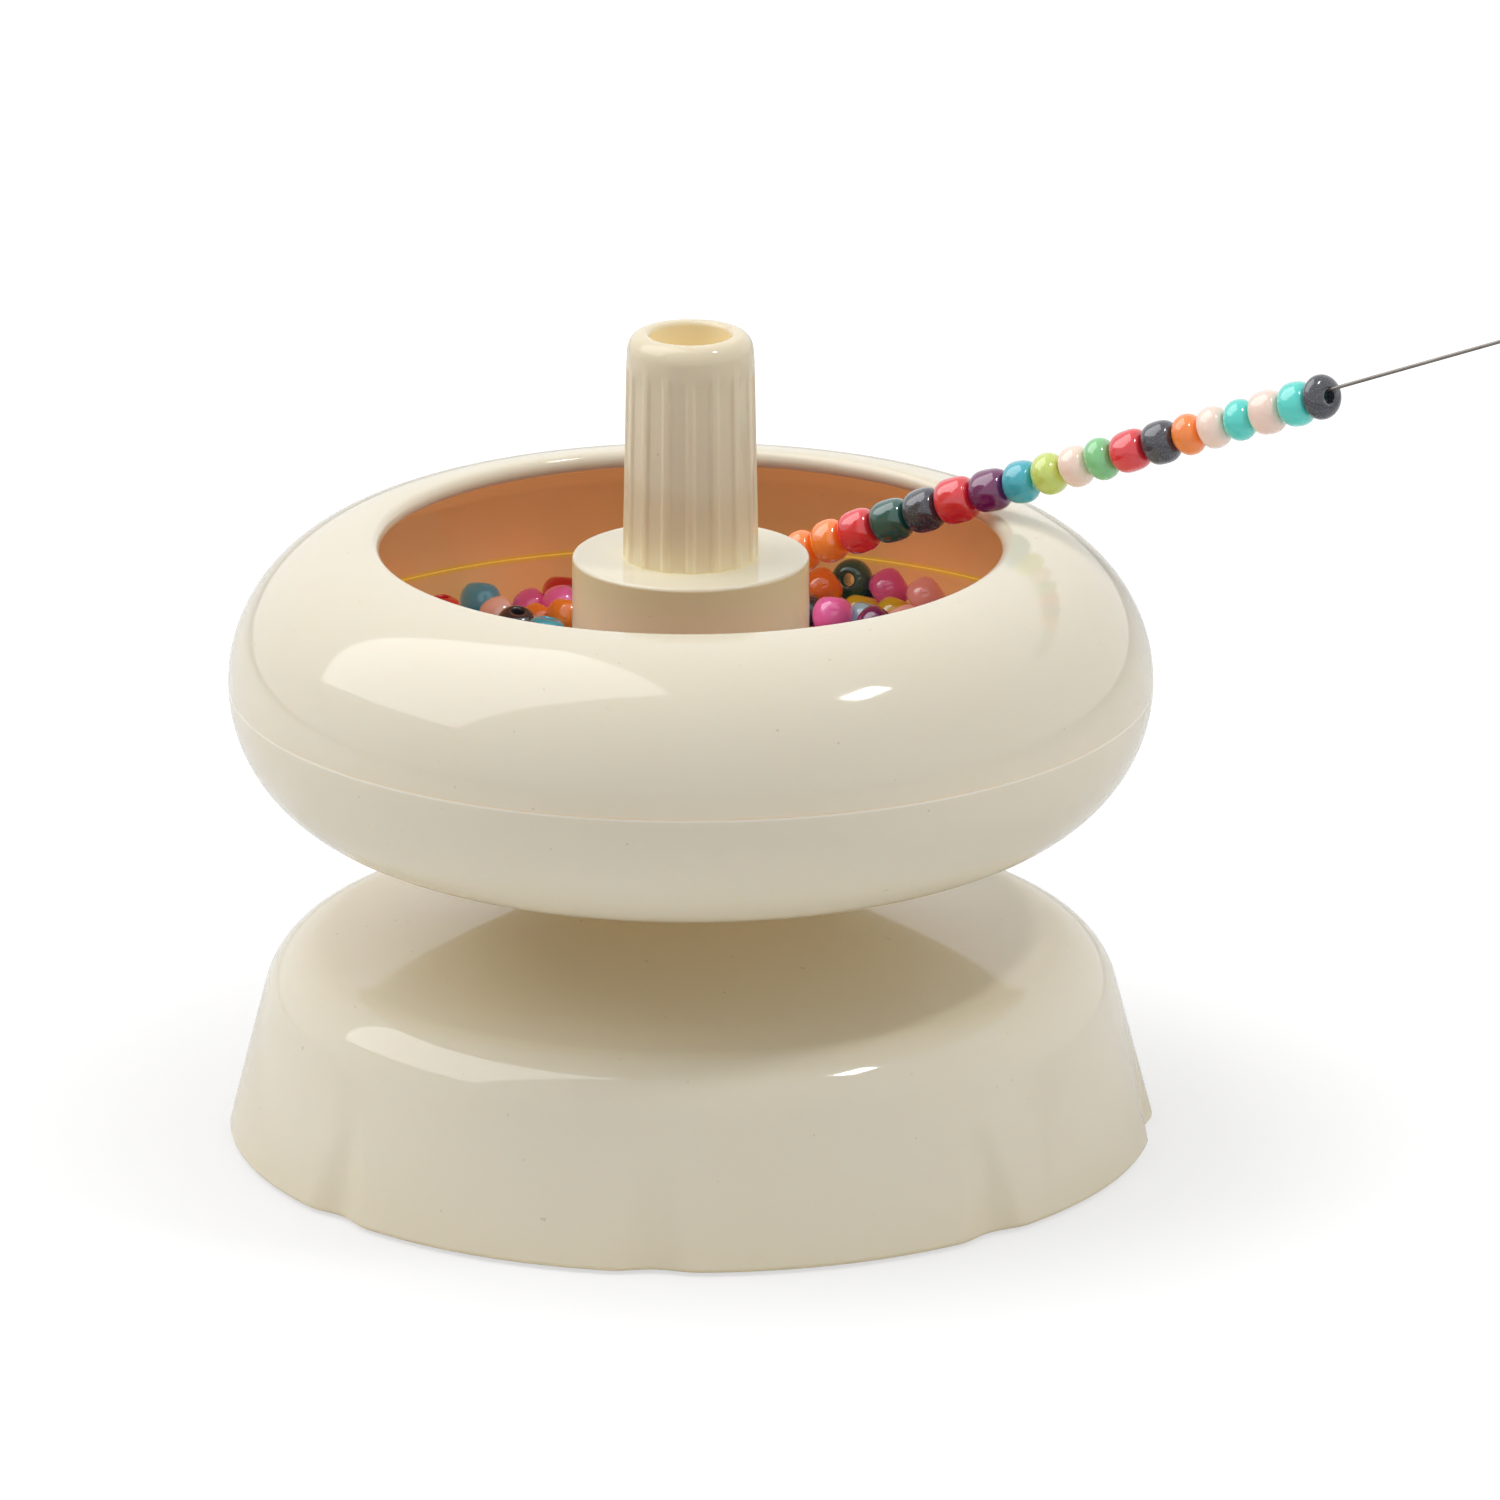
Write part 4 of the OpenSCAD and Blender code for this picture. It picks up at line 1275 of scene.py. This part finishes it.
@dataclass
class Needle:
    """The needle's path and the strand of beads on it, in the needle's own upright plane."""

    finishes: Finishes
    turn: float = -24.2
    offset: float = 18.3
    lift: float = 21.5
    bend_r: float = 360.0
    wire_r: float = 0.17
    hole: float = 0.65
    ring_r: float = 28.85
    lip_top: float = 55.85
    bead_d: float = 4.0
    rest_gap: float = 0.3
    start: float = -21.15
    gap: float = 0.06
    tip_ring: Tuple[float, float] = (21.0, 30.2)
    tip_clear_z: float = 40.1
    strand: Tuple[Tuple[Bead, float, float, float, float, float], ...] = (
        (Bead.ORANGE, 2.8, 3.9, 2.1, 0.0, 0.0), (Bead.ORANGE, 3.0, 4.0, 2.4, 0.0, 0.0),
        (Bead.RED, 3.4, 4.1, 2.7, 1.0, 0.0), (Bead.GREEN, 3.5, 4.0, 2.8, -2.0, 0.0),
        (Bead.BLACK, 3.4, 4.1, 2.7, 0.0, 0.0), (Bead.RED, 3.5, 4.4, 3.1, -3.0, 0.0),
        (Bead.PURPLE, 3.5, 4.0, 2.8, -5.0, 0.0), (Bead.TEAL, 3.0, 4.0, 2.5, -10.0, 0.0),
        (Bead.LIME, 2.8, 4.0, 2.1, 6.0, 0.0), (Bead.PINK, 2.7, 3.9, 2.2, 4.0, 0.0),
        (Bead.LEAF, 2.6, 4.0, 2.1, 7.0, 0.0), (Bead.RED, 3.3, 4.0, 2.7, 3.0, 0.0),
        (Bead.BLACK, 3.1, 4.0, 2.6, 0.0, 0.0), (Bead.ORANGE, 2.5, 3.9, 2.1, 0.0, 0.0),
        (Bead.PINK, 2.7, 3.9, 2.2, 4.0, 0.0), (Bead.TURQUOISE, 2.6, 3.9, 2.1, -9.0, 0.0),
        (Bead.PINK, 3.0, 4.0, 2.6, -5.0, 0.0), (Bead.TURQUOISE, 2.9, 4.2, 2.5, -7.0, 0.0),
        (Bead.BLACK, 2.15, 4.2, 2.1, -4.0, 22.0),
    )

    @property
    def hang(self) -> float:
        """How far a bead's centre hangs below the wire."""
        return self.hole - self.wire_r - 0.03

    def _rest(self) -> Point:
        """Returns the wire's place above the lip, in the needle's plane."""
        x = math.sqrt(self.ring_r ** 2 - self.offset ** 2)
        return x, self.lip_top + (self.bead_d / 2 + self.rest_gap + self.hang) / math.cos(math.radians(self.lift))

    def slope(self, s: float) -> float:
        """Slope of the wire, in degrees, at a length from the lip.

        Args:
            s: Length along the wire, negative inside the bowl.
        """
        return self.lift - math.degrees(min(s, 0.0) / self.bend_r)

    def at(self, s: float) -> Point:
        """Place of the wire at a length from the lip.

        Args:
            s: Length along the wire, negative inside the bowl.

        Returns:
            The place in the needle's plane.
        """
        x, z = self._rest()
        a = math.radians(self.slope(s))
        if s >= 0:
            return x + s * math.cos(a), z + s * math.sin(a)
        lift = math.radians(self.lift)
        centre = (x + self.bend_r * math.sin(lift), z - self.bend_r * math.cos(lift))
        return centre[0] - self.bend_r * math.sin(a), centre[1] + self.bend_r * math.cos(a)

    def plane(self) -> Matrix:
        """Returns the matrix that takes the needle's plane into the object's frame, in millimetres."""
        return Matrix.Rotation(math.radians(self.turn), 4, "Z") @ Matrix.Translation((0, self.offset, 0))

    def near(self, centre: Vector) -> bool:
        """Says whether a bead there would touch the needle or its strand, also as the bowl turns.

        Args:
            centre: The bead's centre, in millimetres.
        """
        if self.tip_ring[0] < centre.xy.length < self.tip_ring[1] and centre.z > self.tip_clear_z:
            return True
        p = self.plane().inverted() @ centre
        if abs(p.y) > 4.4:
            return False
        lo, hi = Vector(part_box("beading_needle")[0]) / MM, self._rest()
        if p.x < lo.x - 30 or p.x > hi[0]:
            return False
        wire = [(-21.0, 42.5), (-12.0, 42.6), (-4.0, 45.3), (2.0, 48.2), (22.0, 56.0)]
        for (x0, z0), (x1, z1) in zip(wire, wire[1:]):
            if x0 <= p.x <= x1:
                bead_room = 4.6 if p.x > 0.5 else 2.35
                return z0 + (z1 - z0) * (p.x - x0) / (x1 - x0) - p.z < bead_room
        return False

    def strand_beads(self) -> List[bpy.types.Object]:
        """Returns the strung beads, one object for each colour's CAD node."""
        rng = random.Random(5)
        by_colour: Dict[Bead, List[bpy.types.Object]] = {}
        s = self.start
        for i, (bead, length, width, square, nod, lean) in enumerate(self.strand):
            if i:
                s += (self.strand[i - 1][1] + length) / 2 + self.gap
            x, z = self.at(s)
            tilt = Matrix.Rotation(math.radians(90 - self.slope(s)), 4, "Y")
            turn = Matrix.Rotation(math.radians(lean + rng.uniform(-3, 3)), 4, "X") @ Matrix.Rotation(math.radians(-nod), 4, "Y")
            turn = turn @ Matrix.Rotation(rng.uniform(0, 2 * math.pi), 4, "Z")
            place = self.plane() @ Matrix.Translation((x, 0, z)) @ tilt @ Matrix.Translation((self.hang, 0, 0)) @ turn
            one = BeadShape(width, length, self.hole, square, steps=48, rings=20).build("strung")
            shape(one, self._lumps(rng.uniform(0, 6.28), rng.uniform(0.010, 0.022)))
            for v in one.data.vertices:
                v.co = (place @ (v.co / MM)) * MM
            one.data.attributes.new("bead_tone", "FLOAT", "POINT").data.foreach_set("value", [rng.uniform(0.88, 1.0)] * len(one.data.vertices))
            by_colour.setdefault(bead, []).append(one)
        made = []
        for bead, parts in by_colour.items():
            node = ("strung_beads_" if "strung_beads_" + bead.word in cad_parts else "strung_bead_") + bead.word
            obj = join(parts, "strand_" + bead.word)
            dress(obj, self.finishes.get(bead.finish()))
            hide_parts(node)
            made.append(obj)
        return made

    @staticmethod
    def _lumps(phase: float, amount: float) -> Callable[[float, float, float], Tuple[float, float, float]]:
        """A rule that makes a bead slightly out of round, as cut and tumbled glass is.

        Args:
            phase: Turn of the lumps.
            amount: Their share of the radius.

        Returns:
            The rule for shape().
        """

        def move(angle: float, radius: float, z: float) -> Tuple[float, float, float]:
            """Moves one point."""
            swell = 1 + amount * (math.sin(2 * angle + phase) + 0.6 * math.sin(3 * angle + 2 * phase)) - amount * 0.9
            return angle, radius * swell, z * (1 - amount * 0.5 * (1 + math.sin(angle + phase)))

        return move


# ---------------------------------------------------------------- the studio


@dataclass
class Studio:
    """The pale floor, the soft lamps and the camera at the photograph's angle."""

    distance: float = 1.3858
    height: float = 0.4779
    pitch: float = 17.693
    yaw: float = 0.222
    lens: float = 384.0
    floor_size: float = 6.0
    sky_low: float = 0.32
    sky_high: float = 0.38
    sky_right: float = 0.46

    def camera(self) -> bpy.types.Object:
        """Returns the camera."""
        data = bpy.data.cameras.new("camera")
        data.lens, data.sensor_width = self.lens, 36.0
        data.clip_start, data.clip_end = 0.01, 20.0
        cam = bpy.data.objects.new("camera", data)
        bpy.context.scene.collection.objects.link(cam)
        cam.location = (0.0, -self.distance, self.height)
        cam.rotation_euler = (math.radians(90 - self.pitch), 0.0, math.radians(-self.yaw))
        bpy.context.scene.camera = cam
        return cam

    def floor(self) -> bpy.types.Object:
        """Returns the floor: white to the camera, with the object's soft shadow on it, partly real from the diffuse
        share and partly painted by an emission that grows weaker towards the base.
        """
        clear_selection()
        bpy.ops.mesh.primitive_plane_add(size=self.floor_size, location=(0, 0, -0.00002))
        obj = bpy.context.object
        obj.name = "floor"
        settle(obj)
        t = Tree("white_floor")
        diffuse = t.add("BsdfDiffuse", {"Color": (0.83, 0.83, 0.83, 1.0)})
        shaded = t.add("BsdfDiffuse", {"Color": (0.32, 0.32, 0.32, 1.0)})
        # Painted shadow: the emission seen by the camera grows weaker towards the base, so the floor is painted
        # darker near the object.
        painted_shadow_distance = t.add("VectorMath", {0: t.place()}, operation="LENGTH").outputs["Value"]
        glow = t.add("Emission", {"Color": (1.0, 1.0, 1.0, 1.0), "Strength": t.span(painted_shadow_distance, 0.043, 0.09, 0.62, 0.875)})
        both = t.add("AddShader", {0: shaded.outputs[0], 1: glow.outputs[0]})
        seen = t.add("LightPath").outputs["Is Camera Ray"]
        mixed = t.add("MixShader", {0: seen, 1: diffuse.outputs[0], 2: both.outputs[0]})
        dress(obj, t.close(mixed.outputs[0]))
        return obj

    def world(self) -> None:
        """Sets the sky: bright above, dimmer at the horizon, white where the camera sees it."""
        world = bpy.data.worlds.new("studio_sky")
        bpy.context.scene.world = world
        world.use_nodes = True
        nodes, links = world.node_tree.nodes, world.node_tree.links
        nodes.clear()
        out = nodes.new("ShaderNodeOutputWorld")
        place = nodes.new("ShaderNodeTexCoord")
        split = nodes.new("ShaderNodeSeparateXYZ")
        rise = nodes.new("ShaderNodeMapRange")
        rise.inputs["From Min"].default_value, rise.inputs["From Max"].default_value = 0.0, 0.9
        rise.inputs["To Min"].default_value, rise.inputs["To Max"].default_value = self.sky_low, self.sky_high
        back = nodes.new("ShaderNodeBackground")
        back.inputs["Color"].default_value = (0.985, 0.99, 1.0, 1.0)
        white = nodes.new("ShaderNodeBackground")
        white.inputs["Color"].default_value, white.inputs["Strength"].default_value = (1, 1, 1, 1), 1.0
        path = nodes.new("ShaderNodeLightPath")
        mix = nodes.new("ShaderNodeMixShader")
        plain = nodes.new("ShaderNodeMath")
        plain.operation = "MAXIMUM"
        links.new(path.outputs["Is Glossy Ray"], plain.inputs[1])
        links.new(place.outputs["Generated"], split.inputs[0])
        links.new(split.outputs[2], rise.inputs["Value"])
        side = nodes.new("ShaderNodeMapRange")
        side.inputs["To Max"].default_value = self.sky_right
        links.new(split.outputs[0], side.inputs["Value"])
        total = nodes.new("ShaderNodeMath")
        links.new(rise.outputs["Result"], total.inputs[0])
        links.new(side.outputs["Result"], total.inputs[1])
        links.new(total.outputs[0], back.inputs["Strength"])
        links.new(path.outputs["Is Camera Ray"], plain.inputs[0])
        links.new(plain.outputs[0], mix.inputs[0])
        links.new(back.outputs[0], mix.inputs[1])
        links.new(white.outputs[0], mix.inputs[2])
        links.new(mix.outputs[0], out.inputs["Surface"])

    def lamp(self, name: str, azimuth: float, elevation: float, distance: float, size: Tuple[float, float],
             power: float, roll: float = 0.0) -> bpy.types.Object:
        """Adds a flat lamp that faces the bowl.

        Args:
            name: The lamp's name.
            azimuth: Degrees round from the front towards the right.
            elevation: Degrees above the horizon.
            distance: Distance from the bowl, in metres.
            size: Width and height, in metres.
            power: Power in watts.
            roll: Turn about the direction it faces, in degrees.

        Returns:
            The lamp.
        """
        data = bpy.data.lights.new(name, "AREA")
        data.shape, data.size, data.size_y, data.energy = "RECTANGLE", size[0], size[1], power
        lamp = bpy.data.objects.new(name, data)
        bpy.context.scene.collection.objects.link(lamp)
        a, e = math.radians(azimuth), math.radians(elevation)
        way = Vector((math.sin(a) * math.cos(e), -math.cos(a) * math.cos(e), math.sin(e)))
        lamp.location = Vector((0, 0, 0.045)) + way * distance
        facing = (-way).to_track_quat("-Z", "Y") @ Quaternion((0, 0, 1), math.radians(roll))
        lamp.rotation_euler = facing.to_euler()
        return lamp

    def build(self) -> None:
        """Sets up floor, sky, lamps, camera and view."""
        self.camera()
        self.floor()
        self.world()
        self.lamp("left_softbox", -101, 54, 0.75, (0.68, 0.83), 4.15, 23.0)
        self.lamp("right_lamp", 75, 60, 0.8, (0.13, 0.06), 1.2)
        bpy.context.scene.view_settings.view_transform = "Standard"


# ---------------------------------------------------------------- main


HIDDEN_FINISHES: Dict[str, object] = {
    "foot_pads": SoftPlastic("pad_rubber", (0.035, 0.035, 0.037), 0.75),
    "spindle": TurnedSteel("spindle_steel", (0.62, 0.63, 0.65)),
    "thrust_washer": SoftPlastic("washer_nylon", (0.80, 0.80, 0.77), 0.4),
    "clip_washer": TurnedSteel("washer_steel", (0.60, 0.61, 0.63)),
    "spindle_clip": TurnedSteel("clip_steel", (0.10, 0.105, 0.11), 0.35),
    "lower_bush": SoftPlastic("bush_plastic", (0.75, 0.71, 0.62), 0.4),
    "upper_bush": SoftPlastic("bush_plastic", (0.75, 0.71, 0.62), 0.4),
    "beading_needle": TurnedSteel("needle_wire", (0.23, 0.21, 0.19), 0.30, 400.0),
    "bead_fill": DeepBeads(),
}


def dress_cad_nodes(finishes: Finishes) -> None:
    """Gives each CAD node that stays in view its finish.

    Args:
        finishes: The finishes.
    """
    for node, finish in HIDDEN_FINISHES.items():
        dress(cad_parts[node], finishes.get(finish))
        LOG.info("%s dressed", node)


def main() -> None:
    """Builds the pieces in order, dresses them and sets up the studio."""
    logging.basicConfig(level=logging.INFO, format="%(message)s")
    finishes = Finishes()
    dress_cad_nodes(finishes)

    base = SpinnerBase(finishes).build()
    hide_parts("base_shell")
    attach(base, "base")

    shells, hub = BowlShells(finishes), Hub(finishes)
    for piece, node in ((shells.upper(), "bowl_upper"), (shells.lower(), "bowl_lower"), (hub.collar(), "hub_collar"), (hub.knob(), "knob")):
        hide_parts(node)
        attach(piece, "bowl")
        LOG.info("%s: %d faces", piece.name, len(piece.data.polygons))

    needle = Needle(finishes)
    for piece in LooseBeads(finishes).build(needle.near):
        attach(piece, "bowl")
        LOG.info("%s: %d faces", piece.name, len(piece.data.polygons))
    for piece in needle.strand_beads():
        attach(piece, "needle")
        LOG.info("%s: %d faces", piece.name, len(piece.data.polygons))

    Studio().build()


if __name__ == "__main__":
    main()
